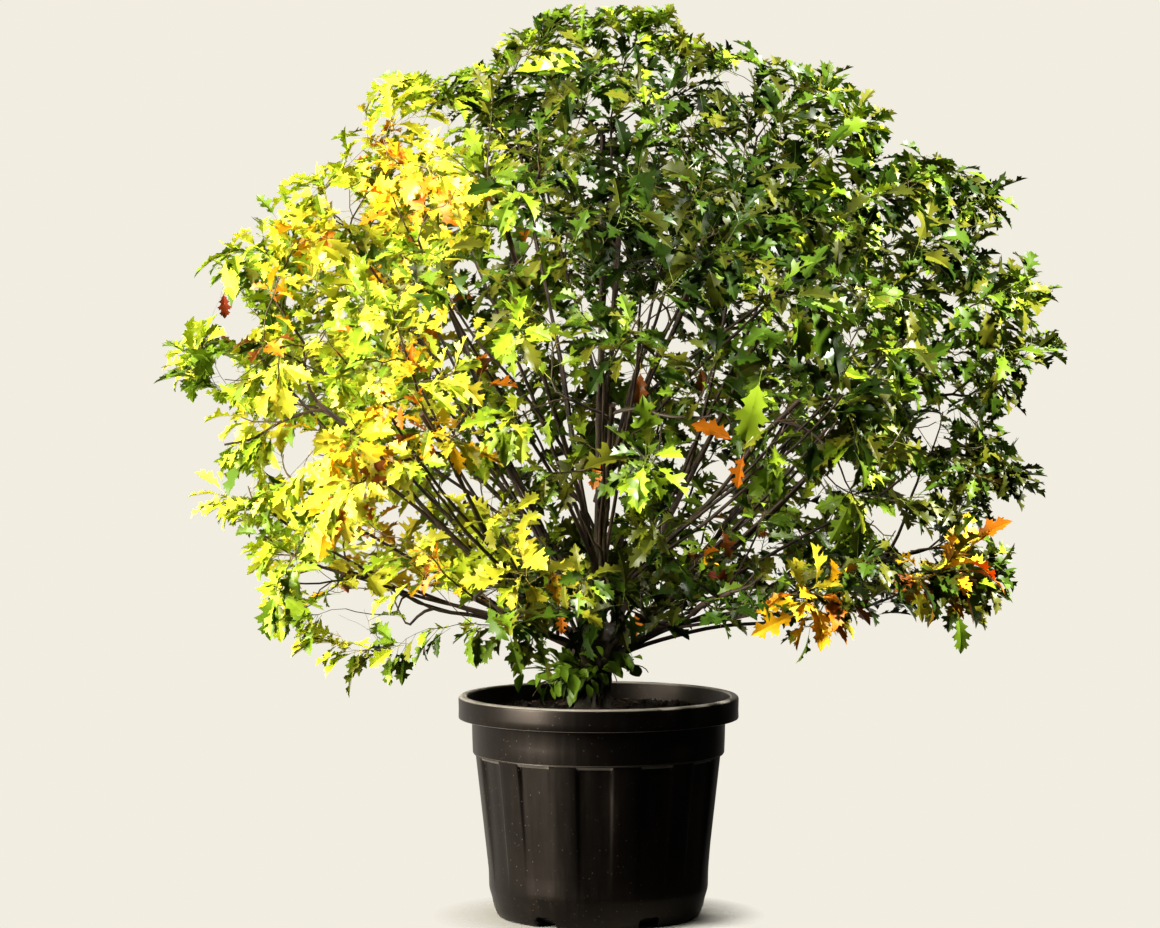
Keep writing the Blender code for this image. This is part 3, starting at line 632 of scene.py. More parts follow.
# a mass of foliage: where its middle lies, its share of the skin, what carries its bough and where along
# that, and how steeply and how thick the bough starts
Mass = namedtuple("Mass", "name turn height distance skin parent along rise footRadius")
masses = [Mass(*row) for row in (
    ("skirt_right", 4, 0.520, 0.43, 1.00, "trunk", 0.62, 54, 0.0085),
    ("skirt_back_right", 62, 0.510, 0.39, 0.98, "trunk", 0.70, 36, 0.0078),
    ("skirt_back_left", 120, 0.515, 0.39, 0.97, "trunk", 0.63, 36, 0.0078),
    ("skirt_left", 178, 0.510, 0.43, 0.99, "trunk", 0.70, 42, 0.0085),
    ("skirt_front_left", 238, 0.490, 0.37, 0.95, "trunk", 0.62, 48, 0.0080),
    ("skirt_front_right", 300, 0.500, 0.37, 0.95, "trunk", 0.70, 50, 0.0080),
    ("flank_right", 350, 0.800, 0.47, 1.00, "trunk", 0.86, 38, 0.0095),
    ("flank_back_right", 40, 0.780, 0.44, 0.98, "flank_right", 0.16, 0, 0.0070),
    ("flank_back", 90, 0.790, 0.42, 0.97, "trunk", 0.88, 42, 0.0085),
    ("flank_back_left", 142, 0.780, 0.43, 0.98, "flank_back", 0.18, 0, 0.0068),
    ("flank_left", 190, 0.770, 0.45, 0.99, "trunk", 0.86, 34, 0.0090),
    ("flank_front_left", 230, 0.760, 0.42, 0.97, "flank_left", 0.18, 0, 0.0068),
    ("flank_front", 271, 0.780, 0.40, 0.97, "trunk", 0.88, 44, 0.0082),
    ("flank_front_right", 313, 0.780, 0.42, 0.98, "flank_front", 0.17, 0, 0.0068),
    ("shoulder_right", 14, 1.040, 0.33, 0.95, "trunk", 0.94, 66, 0.0085),
    ("shoulder_back", 85, 1.040, 0.28, 0.96, "top", 0.22, 0, 0.0065),
    ("shoulder_left", 160, 1.010, 0.31, 0.91, "trunk", 0.98, 66, 0.0082),
    ("shoulder_front_left", 236, 1.030, 0.27, 0.96, "top", 0.12, 0, 0.0065),
    ("shoulder_front_right", 308, 1.040, 0.28, 0.96, "top", 0.34, 0, 0.0062),
    ("top", 100, 1.180, 0.03, 1.00, "trunk", 1.00, 86, 0.0100),
)]
middles = {}
for mass in masses:
    middle = Vector((crown["middle"].x * 0.5, 0, mass.height))
    middles[mass.name] = middle + outward(mass.turn) * mass.distance


def bend(start, heading, end, arrive, count):
    # points on one smooth curve that leaves along heading and arrives along arrive
    reach = (end - start).length
    first = start + heading.normalized() * reach * bough["leave"]
    last = end - arrive.normalized() * reach * bough["arrive"]
    points = []
    for step in range(count):
        t = step / (count - 1)
        s = 1 - t
        points.append(start * s**3 + first * 3 * t * s**2 + last * 3 * t * t * s + end * t**3)
    return points


def boughEnds(mass, paths):
    # where a bough starts and ends, and which way it leaves and arrives
    middle = middles[mass.name]
    if mass.parent == "trunk":
        leans = mass.rise < bough["upright"]
        aside = bough["footAside"] if leans else 0.0
        start = trunkPoint(mass.along) - upward(bough["footSunk"]) + outward(mass.turn) * aside
        heading = outward(mass.turn) + upward(math.tan(math.radians(mass.rise)) if leans else 12)
    else:
        points = paths[mass.parent]
        place = mass.along * (len(points) - 1)
        index = int(place)
        start = points[index].lerp(points[index + 1], place - index)
        onward = (points[index + 1] - points[index]).normalized()
        heading = onward * 0.55 + (middle - start).normalized() * 0.75
    arrive = (middle - start).normalized() + upward(0.30)
    return start, heading, start.lerp(middle, bough["entry"]), arrive


def tubeRings(points, radii, sides, relief=0.0):
    # rings of corners round a line of points, turned on smoothly from one to the next
    rings = []
    side = (points[1] - points[0]).orthogonal().normalized()
    for index, (place, radius) in enumerate(zip(points, radii)):
        before, after = points[max(index - 1, 0)], points[min(index + 1, len(points) - 1)]
        onward = (after - before).normalized()
        side = (side - onward * side.dot(onward)).normalized()
        other = onward.cross(side)
        ring = []
        for step in range(sides):
            angle = fullTurn * step / sides
            level = side * math.cos(angle) + other * math.sin(angle)
            bump = relief * noise.noise((place + level * radius) * 90) if relief else 0.0
            ring.append(place + level * (radius + bump))
        rings.append(ring)
    return rings


def makeBough(mass, ends, finish):
    # one tapering bough, with a swollen collar at its foot and a knuckle here and there
    start, heading, entry, arrive = ends
    length = (entry - start).length
    count = int(length / bough["ringStep"]) + 4
    points = bend(start, heading, entry, arrive, count)
    rng = random.Random(mass.name)
    knuckles = [rng.uniform(0.15, 0.95) for _ in range(bough["knuckles"])]
    radii, wander = [], rng.uniform(0, 40)
    thin = bough["slimSkirt"] if mass.name.startswith("skirt") else bough["slim"]
    for index in range(count):
        share = index / (count - 1)
        radius = mass.footRadius + (bough["tipRadius"] - mass.footRadius) * share**0.8
        foot = math.exp(-((share * length / bough["collarLength"]) ** 2))
        swell = max(math.exp(-(((share - knuckle) * count / 1.3) ** 2)) for knuckle in knuckles)
        slim = thin + (1 - thin) * foot
        radii.append(radius * slim * (1 + (bough["collar"] - 1) * foot) + bough["joint"] * swell)
        sideways = noise.noise_vector(Vector((share * 5 + wander, wander, 0)))
        points[index] += sideways * bough["drift"] * math.sin(share * math.pi)
    bm = ringStack(tubeRings(points, radii, bough["sides"], bough["relief"]))
    addPiece(f"boughBark_{mass.name}", meshOf(bm, 70), finish, "bark", f"bough_{mass.name}")
    return points, radii


# the boughs' paler copy of the bark partly carries painted light
trunkFinish = makeBarkFinish("trunkBark", 120.0, 75.0, bark["trunkLight"], bark["trunkMoss"])
boughFinish = makeBarkFinish("boughBark", 160.0, 120.0, bark["boughLight"], bark["boughMoss"])
trunkPiece = makeTrunk(trunkFinish)
ends, coarsePaths = {}, {}
for mass in sorted(masses, key=lambda m: m.parent != "trunk"):
    ends[mass.name] = boughEnds(mass, coarsePaths)
    coarsePaths[mass.name] = bend(*ends[mass.name], bough["rings"])
boughLines = {mass.name: makeBough(mass, ends[mass.name], boughFinish) for mass in masses}
print(f"trunk and {len(boughLines)} boughs: done")


# The crown's space

def skinShare(place):
    # how far out a place lies: 0 at the crown's middle, 1 on its skin
    offset = place - crown["middle"]
    level = math.hypot(offset.x / crown["halfWidth"], offset.y / crown["halfDepth"])
    if offset.z > 0:
        tall, power = offset.z / crown["halfUp"], crown["topPower"]
    else:
        tall, power = -offset.z / crown["halfDown"], crown["footPower"]
    return (level**power + tall**power) ** (1 / power)


def stepsAt(steps, value):
    # reads a list of (place, value) pairs, straight between them
    if value <= steps[0][0]:
        return steps[0][1]
    for (low, first), (high, second) in zip(steps, steps[1:]):
        if value <= high:
            return first + (second - first) * (value - low) / (high - low)
    return steps[-1][1]


def outlineShare(place):
    # 0 on the crown's axis and 1 where its foliage ends
    left, right = stepsAt(crown["reachLeft"], place.z), stepsAt(crown["reachRight"], place.z)
    wide = (right if place.x > 0 else left) + crown["slack"]
    deep = min(crown["deepest"], (left + right) / 2 * crown["depthShare"])
    across, along = place.x / wide, place.y / deep
    rough = 1 + crown["roughness"] * noise.noise(place * 6) * min(1.0, abs(along) * 2)
    return math.hypot(across, along) * rough


def toOutline(place, depth):
    # moves a place along its ray from the crown's middle, until it lies this far under the outline
    ray = (place - crown["middle"]).normalized()
    low, high = 0.0, 1.0
    for _ in range(10):
        half = (low + high) / 2
        if outlineShare(crown["middle"] + ray * half) > 1:
            high = half
        else:
            low = half
    return crown["middle"] + ray * max(0.02, low - depth)


def inSpace(place, own, skin, clear):
    # True if a place is nearer this mass's middle than any other's, under the skin
    if skinShare(place) > skin or place.z < crown["floor"]:
        return False
    here = (place - middles[own]).length_squared
    for other, middle in middles.items():
        apart = (middle - middles[own]).length
        if other != own and (place - middle).length_squared - here < 2 * apart * clear:
            return False
    return True


# Twigs

twig = {
    # main twigs, which end at the same places as in the solids
    "mainSites": 7, "tries": 24, "solidLeaf": 0.146, "reach": Vector((0.30, 0.30, 0.26)),
    # a mass's stem, where twigs start on the wood below them, and how thick they are
    "stemEnd": 0.0036, "stemSteps": 9, "longMains": 3, "lowForks": (0.08, 0.45), "forksFrom": 0.45,
    "longRadius": 0.0034, "mainRadius": 0.0027, "mainTip": 0.0016, "fineRadius": 0.0018, "fineTip": 0.0009,
    # finer twigs, most of them just under the outline
    "shellSites": 23, "shellDepth": 0.13, "innerSites": 8, "innerShare": (0.38, 0.74), "fineTries": 9,
    "margin": 0.042, "apart": 0.040, "clear": 0.006, "longest": 0.34, "step": 0.022, "wander": 0.0060,
    # twigs up both sides of the outline, as the front shows it
    "rimStep": 0.040, "rimMargin": 0.028, "rimDepth": 0.10, "rimLow": 0.455, "lowest": 0.43,
    "sides": {"long": 8, "main": 6, "fine": 5}, "roughness": 0.62, "grain": 24.0,
    "woodyDark": (0.012, 0.0065, 0.004), "woodyLight": (0.092, 0.057, 0.036),
    "youngDark": (0.026, 0.015, 0.007), "youngLight": (0.130, 0.084, 0.042),
}
# share of the fine twigs that each mass gets, where it isn't 1
fullness = {
    "top": 1.3, "shoulder_left": 1.15, "shoulder_right": 1.35, "shoulder_front_right": 1.2,
    "shoulder_back": 1.25, "flank_back": 1.25, "flank_back_left": 1.3,
}
# the front is thinner low in its middle, so that the stems show there
opening = {"halfWidth": 0.30, "low": 0.40, "high": 0.86, "front": -0.14, "kept": 0.30}
# sprays that the photo shows one by one, by mass: the place, the tint's warmth, leaves, leaf length
accents = {
    "flank_left": (
        (-0.556, -0.05, 0.822, 0.20, 10, 0.062), (-0.578, -0.05, 0.800, 0.30, 9, 0.056),
        (-0.532, -0.03, 0.900, 1.62, 1, 0.036), (-0.460, -0.14, 0.822, -0.55, 7, 0.060),
        (-0.525, -0.06, 0.950, 0.30, 11, 0.054), (-0.505, -0.05, 0.715, 0.30, 9, 0.050),
        (-0.432, -0.04, 1.014, 0.22, 8, 0.044), (-0.470, -0.03, 0.972, 0.24, 8, 0.044),
    ),
    "skirt_left": (
        (-0.535, -0.05, 0.605, 0.40, 9, 0.050), (-0.445, -0.16, 0.470, 0.20, 11, 0.060),
        (-0.410, -0.16, 0.446, 0.05, 7, 0.046),
    ),
    "flank_right": (
        (0.612, -0.04, 0.834, -0.34, 11, 0.046), (0.602, -0.02, 0.916, -0.40, 11, 0.046),
        (0.400, -0.28, 0.760, 0.22, 7, 0.070),
    ),
    "skirt_right": (
        (0.585, -0.05, 0.630, -0.40, 9, 0.050), (0.560, -0.03, 0.668, -0.34, 8, 0.046),
        (0.482, -0.20, 0.512, 0.92, 13, 0.064), (0.446, -0.20, 0.506, 0.98, 9, 0.058),
        (0.508, -0.17, 0.534, 0.90, 10, 0.058), (0.560, -0.06, 0.500, -0.34, 8, 0.048),
        (0.500, -0.14, 0.455, -0.30, 6, 0.050), (0.314, -0.30, 0.492, 0.94, 9, 0.060),
        (0.276, -0.28, 0.490, 0.88, 7, 0.056), (0.286, -0.31, 0.466, 0.94, 8, 0.058),
        (0.292, -0.16, 0.430, -0.20, 4, 0.044),
    ),
    "shoulder_right": (
        (0.545, -0.04, 1.030, -0.34, 9, 0.048), (0.510, -0.02, 1.066, -0.30, 8, 0.046),
        (0.462, -0.03, 1.084, -0.30, 8, 0.046), (0.392, -0.02, 1.126, -0.30, 9, 0.046),
        (0.170, -0.04, 1.212, -0.28, 9, 0.050), (0.238, -0.05, 1.212, -0.24, 9, 0.050),
        (0.312, -0.06, 1.196, -0.28, 10, 0.048), (0.352, 0.02, 1.160, -0.30, 9, 0.048),
    ),
    "shoulder_left": (
        (-0.284, -0.03, 1.192, 0.25, 9, 0.044), (-0.232, -0.04, 1.192, 0.10, 9, 0.044),
        (-0.330, -0.02, 1.142, 0.30, 8, 0.044), (-0.285, -0.04, 1.194, 0.40, 10, 0.044),
        (-0.232, -0.06, 1.190, 0.30, 10, 0.044), (-0.190, -0.03, 1.188, 0.14, 10, 0.044),
        (-0.404, -0.04, 1.046, 0.34, 10, 0.050), (-0.345, -0.03, 1.085, 0.30, 8, 0.044),
        (-0.200, -0.26, 1.040, 0.88, 11, 0.056), (-0.235, -0.22, 1.075, 0.80, 8, 0.050),
    ),
    "skirt_front_left": (
        (-0.296, -0.20, 0.400, 0.02, 9, 0.054), (-0.366, -0.18, 0.424, 0.46, 9, 0.052),
        (-0.330, -0.16, 0.452, 0.30, 7, 0.046), (-0.236, -0.20, 0.430, 0.10, 8, 0.044),
        (-0.345, -0.18, 0.400, 0.34, 7, 0.046), (-0.175, -0.20, 0.436, 0.06, 7, 0.046),
        (-0.130, -0.17, 0.425, -0.10, 8, 0.050), (-0.095, -0.15, 0.405, -0.20, 8, 0.048),
        (-0.110, -0.34, 0.510, 0.90, 4, 0.056), (-0.105, -0.32, 0.530, 0.62, 9, 0.064),
        (-0.067, -0.30, 0.536, 1.05, 1, 0.052), (-0.054, -0.20, 0.459, 1.18, 1, 0.030),
        (-0.342, -0.25, 0.591, 1.36, 4, 0.044), (-0.100, -0.130, 0.470, -0.30, 9, 0.052),
    ),
    "top": (
        (0.030, -0.03, 1.268, 0.28, 11, 0.040), (-0.025, -0.05, 1.262, 0.16, 11, 0.040),
        (0.078, 0.02, 1.262, -0.05, 11, 0.040), (-0.090, 0.00, 1.242, 0.24, 10, 0.044),
        (0.000, 0.07, 1.262, 0.05, 9, 0.040), (0.122, -0.04, 1.234, -0.20, 10, 0.044),
        (-0.112, -0.02, 1.240, 0.10, 10, 0.040), (0.010, -0.03, 1.282, 0.10, 7, 0.030),
        (0.048, -0.03, 1.286, 0.02, 7, 0.030), (-0.038, -0.03, 1.284, 0.12, 7, 0.030),
        (0.088, -0.02, 1.278, -0.05, 7, 0.032), (0.058, 0.00, 1.284, -0.10, 7, 0.030),
        (-0.040, 0.02, 1.280, 0.15, 7, 0.030),
    ),
    "flank_back_left": (
        (-0.220, 0.36, 0.900, -0.05, 11, 0.048), (-0.270, 0.35, 0.810, 0.05, 11, 0.048),
        (-0.300, 0.32, 0.900, 0.15, 10, 0.048),
    ),
    "flank_back": (
        (-0.150, 0.42, 0.740, -0.05, 11, 0.050), (-0.140, 0.40, 0.860, -0.10, 10, 0.048),
        (-0.080, 0.43, 0.800, -0.25, 10, 0.048),
    ),
    "shoulder_back": (
        (-0.160, 0.30, 0.990, -0.10, 10, 0.048),
    ),
    "flank_front": (
        (0.058, -0.40, 0.680, -0.05, 11, 0.066), (0.085, -0.22, 0.730, -0.30, 9, 0.054),
        (-0.030, -0.22, 0.695, -0.15, 8, 0.050), (-0.060, -0.34, 0.850, 0.34, 9, 0.066),
        (0.056, -0.22, 0.800, 1.36, 1, 0.050), (0.080, -0.24, 0.830, -0.20, 8, 0.054),
        (0.001, -0.24, 0.677, 1.18, 1, 0.042), (0.020, -0.130, 0.455, -0.60, 10, 0.054),
        (-0.045, -0.120, 0.440, -0.50, 10, 0.054),
    ),
    "skirt_front_right": (
        (0.110, -0.20, 0.470, -0.40, 8, 0.046), (0.165, -0.20, 0.462, -0.45, 8, 0.046),
        (0.169, -0.22, 0.579, 1.36, 1, 0.040), (0.236, -0.20, 0.666, 1.40, 1, 0.032),
        (0.050, -0.20, 0.459, 1.18, 1, 0.032), (0.085, -0.110, 0.455, -0.60, 10, 0.052),
        (0.060, -0.170, 0.500, -0.60, 9, 0.056), (0.140, -0.150, 0.490, -0.55, 9, 0.052),
        (0.030, -0.240, 0.470, -0.35, 4, 0.080),
    ),
    "flank_front_left": (
        (-0.161, -0.26, 0.775, 1.18, 4, 0.050), (-0.315, -0.25, 0.698, 1.62, 1, 0.040),
        (-0.340, -0.30, 0.690, 0.90, 10, 0.066),
    ),
    "flank_front_right": (
        (0.139, -0.22, 0.800, 1.40, 1, 0.036), (0.217, -0.46, 0.806, 0.26, 1, 0.086),
    ),
}


def isThinned(place, rng):
    # True for most places in the thin part of the front
    level = smoothStep(abs(place.x), opening["halfWidth"] + 0.08, opening["halfWidth"] - 0.08)
    tall = smoothStep(place.z, opening["low"] - 0.04, opening["low"] + 0.04)
    tall *= smoothStep(place.z, opening["high"] + 0.07, opening["high"] - 0.07)
    near = smoothStep(place.y, opening["front"] + 0.06, opening["front"] - 0.06)
    return rng.random() < level * tall * near * (1 - opening["kept"])


def anywhereIn(name, rng):
    return middles[name] + Vector([rng.uniform(-reach, reach) for reach in twig["reach"]])


def clearance(place, sites):
    return min([(place - site).length for site in sites] or [1.0])


def mainSitesOf(mass, rng):
    # where a mass's main twigs end, by the same draws as in the solids
    sites = []
    outer = mass.skin - twig["solidLeaf"] * 0.60 / crown["halfDepth"]
    while len(sites) < twig["mainSites"]:
        best, widest = None, -1.0
        for _ in range(twig["tries"]):
            place = anywhereIn(mass.name, rng)
            if not inSpace(place, mass.name, outer, twig["solidLeaf"] * 0.22):
                continue
            if skinShare(place) < 0.42 + 0.25 * rng.random():
                continue
            apart = clearance(place, sites)
            if apart > widest:
                best, widest = place, apart
        if best is not None:
            sites.append(best)
    return sites


def fineSitesOf(mass, taken, rng):
    # where the finer twigs end: most just under the outline, the others deeper in the mass
    full = fullness.get(mass.name, 1.0)
    shell, inner = round(twig["shellSites"] * full), round(twig["innerSites"] * full)
    sites = []
    lowest, highest = twig["innerShare"]
    for number in range(shell + inner):
        best, widest = None, twig["apart"]
        for _ in range(twig["fineTries"]):
            place = anywhereIn(mass.name, rng)
            if number < shell:
                place = toOutline(place, twig["margin"] + twig["shellDepth"] * rng.random() ** 1.5)
            elif not lowest < outlineShare(place) < highest:
                continue
            if place.z < twig["lowest"] or not inSpace(place, mass.name, 1.2, twig["clear"]):
                continue
            apart = clearance(place, taken + sites)
            if apart > widest:
                best, widest = place, apart
        if best is not None:
            sites.append(best)
    return [site for site in sites if not isThinned(site, rng)]


def rimSites():
    # sites that carry the outline as the front shows it, up both sides, by the mass they are nearest to
    rng = random.Random(60)
    sites = {name: [] for name in middles}
    for side, reach in ((-1, crown["reachLeft"]), (1, crown["reachRight"])):
        due = 0.0
        for (low, first), (high, second) in zip(reach, reach[1:]):
            length = math.hypot(high - low, second - first)
            while due < length:
                share = due / length
                edge = Vector((side * (first + (second - first) * share), 0, low + (high - low) * share))
                inwards = (crown["middle"] - edge).normalized()
                place = edge + inwards * (twig["rimMargin"] + rng.uniform(-0.008, 0.024))
                place.y = rng.uniform(-twig["rimDepth"], twig["rimDepth"])
                if edge.z > twig["rimLow"]:
                    sites[min(middles, key=lambda name: (middles[name] - place).length)].append(place)
                due += twig["rimStep"]
            due -= length
    return sites


def bestFork(forks, site):
    # the fork that reaches a site with the least length and the least turn
    def worth(fork):
        reach = site - fork[0]
        return reach.length * (1.35 - 0.60 * reach.normalized().dot(fork[1]))
    return min(forks, key=worth)


def growTwig(fork, site, thick, thin, rng):
    # a twig from a fork to its site, with a little wander
    place, onward, radius = fork
    away = (site - place).normalized()
    count = max(4, int((site - place).length / twig["step"]) + 2)
    points = bend(place, onward * 0.7 + away, site, away + upward(0.35), count)
    seed = rng.uniform(0, 100)
    for index in range(1, count):
        share = index / (count - 1)
        drift = noise.noise_vector(Vector((share * 4 + seed, seed, 1.5)))
        points[index] += drift * twig["wander"] * math.sin(share * math.pi * 0.75)
    start = min(thick, radius * 0.82)
    radii = [start + (min(thin, start * 0.8) - start) * (i / (count - 1)) ** 0.8 for i in range(count)]
    return points, radii


def forksAlong(points, radii, first):
    # places along a twig or bough where another may start
    forks = []
    for index in range(max(1, int(first * len(points))), len(points)):
        forks.append((points[index], (points[index] - points[index - 1]).normalized(), radii[index]))
    return forks


def growMass(mass, rimPlaces, rng):
    # a mass's stem, main twigs and finer twigs, and the sprays at their ends
    mainSites = mainSitesOf(mass, rng)
    points, radii = boughLines[mass.name]
    start = points[-1]
    end = middles[mass.name].lerp(start, 0.25)
    steps = twig["stemSteps"]
    stemPoints = [points[-2]] + bend(start, (start - points[-2]).normalized(), end, end - start, steps)
    taper = twig["stemEnd"] - bough["tipRadius"]
    stemRadii = [bough["tipRadius"] + taper * i / steps for i in range(steps + 1)]
    low = [forksAlong(points, radii, share)[0] for share in twig["lowForks"]]
    forks = forksAlong(points, radii, twig["forksFrom"])[::3] + forksAlong(stemPoints, stemRadii, 0.3)
    twigs, sprays = [("long", stemPoints, stemRadii)], []
    mainSites.sort(key=lambda site: (site - start).length)
    longSites = rng.sample(mainSites, twig["longMains"])
    for site in mainSites:
        isLong = site in longSites
        fork = low[longSites.index(site) % len(low)] if isLong else bestFork(forks, site)
        grown = growTwig(fork, site, twig["longRadius" if isLong else "mainRadius"], twig["mainTip"], rng)
        twigs.append(("long" if isLong else "main", *grown))
        forks += forksAlong(*grown, twig["forksFrom"])
        if not isThinned(site, rng):
            sprays.append((grown[0], None, None, None))
    sites = [(site, None, None, None) for site in fineSitesOf(mass, mainSites, rng) + rimPlaces]
    sites += [(Vector(accent[:3]), *accent[3:]) for accent in accents.get(mass.name, ())]
    for site, warmth, leaves, length in sorted(sites, key=lambda row: (row[0] - start).length):
        fork = bestFork(forks, site)
        if (site - fork[0]).length > twig["longest"] and warmth is None:
            continue
        grown = growTwig(fork, site, twig["fineRadius"], twig["fineTip"], rng)
        twigs.append(("fine", *grown))
        forks += forksAlong(*grown, twig["forksFrom"])
        sprays.append((grown[0], warmth, leaves, length))
    return twigs, sprays


def makeTwigFinish(name, dark, light):
    return makeMottledFinish(name, twig["roughness"], twig["grain"], dark, light)


def tubeShape(points, radii, sides):
    # corners and faces of one tube, closed at both ends
    corners = [corner for ring in tubeRings(points, radii, sides) for corner in ring]
    faces = [tuple(reversed(range(sides))), tuple(range(len(corners) - sides, len(corners)))]
    for low in range(0, len(corners) - sides, sides):
        for side in range(sides):
            after = (side + 1) % sides
            faces.append((low + side, low + after, low + sides + after, low + sides + side))
    return corners, faces


# Leaves

leaf = {
    # half of each outline, from the stalk to the tip: pointed lobes that lean forward
    "deepOutline": (
        (0.055, 0.012), (0.120, 0.020), (0.145, 0.100), (0.190, 0.110), (0.200, 0.205), (0.250, 0.160),
        (0.310, 0.170), (0.275, 0.085), (0.310, 0.055), (0.370, 0.070), (0.415, 0.165), (0.430, 0.255),
        (0.505, 0.325), (0.545, 0.215), (0.640, 0.255), (0.585, 0.140), (0.600, 0.068), (0.680, 0.070),
        (0.715, 0.145), (0.760, 0.225), (0.800, 0.150), (0.870, 0.135), (0.825, 0.075), (0.910, 0.050),
    ),
    "broadOutline": (
        (0.050, 0.012), (0.110, 0.045), (0.155, 0.105), (0.200, 0.085), (0.260, 0.130), (0.320, 0.220),
        (0.350, 0.165), (0.390, 0.115), (0.460, 0.180), (0.535, 0.295), (0.570, 0.220), (0.635, 0.225),
        (0.610, 0.125), (0.680, 0.140), (0.765, 0.225), (0.790, 0.160), (0.860, 0.150), (0.830, 0.085),
        (0.910, 0.058),
    ),
    "midrib": (0.84, 0.68, 0.52, 0.36, 0.20),
    "ovalOutline": (
        (0.08, 0.10), (0.22, 0.22), (0.42, 0.29), (0.64, 0.25), (0.84, 0.12),
    ),
    "ovalMidrib": (0.72, 0.48, 0.24),
    # the foot, the widest lobes and the tip, which have to fit where a leaf grows
    "corners": ((0.35, 0.0, 0.0), (0.75, 0.33, 0.0), (0.75, -0.33, 0.0), (1.22, 0.0, 0.0)),
    # shapes, and sizes as shares of the leaf's length
    "variants": 14, "stalk": 0.30, "stalkRadius": 0.0085, "ribEnd": 0.0030, "ribShare": 0.86,
    # real lengths, and the share of it that each leaf gets
    "length": 0.0455, "lengthSpread": 0.010, "shortest": 0.024, "longest": 0.100, "sizes": (0.70, 1.18),
    # leaves at a twig's tip and along it, and how they stand
    "inRosette": (8, 12), "alongSpacing": 0.010, "alongChance": 0.80, "alongReach": 0.085,
    "spread": (28, 80), "droop": (0.05, 0.55), "tries": 4, "turn": 2.51, "turnAgain": 0.8,
    # how far they may reach past the outline, and hang below the tip of an accent
    "overshoot": 0.020, "accentOvershoot": 0.075, "hang": 0.062, "inBox": 0.002, "outlineFrom": 0.45,
    "roughness": 0.36, "gloss": 0.30, "tintSpread": 0.17, "rusty": (0.95, 1.14, 1.36, 1.36),
    "rustyInside": 0.10, "rustyOutside": 0.02,
    "stalksGreen": (0.17, 0.22, 0.04), "stalksYellow": (0.52, 0.44, 0.10), "yellowFrom": 0.25,
}
# plain base colours, from the deepest green to the turned leaves, each with its place on the scale
tints = (
    ("blackGreen", -0.85, (0.013, 0.027, 0.002)),
    ("deepGreen", -0.64, (0.030, 0.062, 0.005)),
    ("oliveGreen", -0.48, (0.062, 0.072, 0.008)),
    ("leafGreen", -0.32, (0.070, 0.126, 0.010)),
    ("mossGreen", -0.18, (0.150, 0.155, 0.014)),
    ("freshGreen", -0.05, (0.150, 0.236, 0.016)),
    ("springGreen", 0.18, (0.285, 0.400, 0.024)),
    ("lime", 0.38, (0.460, 0.540, 0.034)),
    ("yellowLime", 0.58, (0.600, 0.590, 0.050)),
    ("lemon", 0.80, (0.740, 0.640, 0.055)),
    ("golden", 1.00, (0.880, 0.500, 0.018)),
    ("amber", 1.18, (0.640, 0.210, 0.012)),
    ("rust", 1.40, (0.200, 0.066, 0.014)),
    ("russet", 1.62, (0.190, 0.034, 0.012)),
)
# where the leaves sit on that scale over the crown: partly how far they have turned, partly painted light and
# shade, lighter on the lit left and at the top, with painted shade in the middle below the top
turning = {
    "right": -0.30, "left": 0.72, "farLeft": 0.38, "drift": 0.42, "spread": 0.19, "spreadLeft": 0.08,
    "lowLeft": 0.14, "top": 0.20, "low": 0.10, "middle": -0.32, "most": 0.95, "least": -0.85,
}
# the camera's place, which the clearings are seen from
eye = {"across": -0.0265, "height": 1.06, "distance": 7.0}
# patches of open sky that the photo shows inside the crown: place across, height, radius
clearings = (
    (-0.354, 0.437, 0.032), (-0.250, 0.441, 0.026), (-0.224, 0.438, 0.022), (-0.510, 0.851, 0.024),
    (-0.417, 0.668, 0.022), (-0.442, 0.652, 0.022), (0.455, 0.534, 0.022), (0.413, 0.559, 0.020),
    (0.196, 1.191, 0.018), (-0.354, 1.006, 0.019), (-0.370, 1.031, 0.016), (0.351, 0.628, 0.020),
    (0.445, 0.618, 0.018), (0.470, 0.693, 0.018), (0.079, 0.860, 0.018), (-0.532, 0.776, 0.019),
    (-0.508, 0.616, 0.018), (-0.203, 0.616, 0.018), (-0.401, 0.481, 0.018),
)


def flatBlade(outline, midrib, fill):
    # one half is filled in between its outline and its midrib, then mirrored
    bm = bmesh.new()
    rim = [(0.0, 0.0)] + [(x, y + fill * max(0.0, 0.15 - y) * math.sin(math.pi * x)) for x, y in outline]
    rim += [(1.0, 0.0)] + [(x, 0.0) for x in midrib]
    verts = [bm.verts.new((x, y, 0.0)) for x, y in rim]
    edges = [bm.edges.new((verts[i - 1], verts[i])) for i in range(len(verts))]
    bmesh.ops.triangle_fill(bm, use_beauty=True, edges=edges, normal=(0, 0, 1))
    bmesh.ops.mirror(bm, geom=bm.verts[:] + bm.edges[:] + bm.faces[:], axis="Y", merge_dist=0.0001)
    bmesh.ops.recalc_face_normals(bm, faces=bm.faces)
    if sum(face.normal.z for face in bm.faces) < 0:
        bmesh.ops.reverse_faces(bm, faces=bm.faces)
    return bm


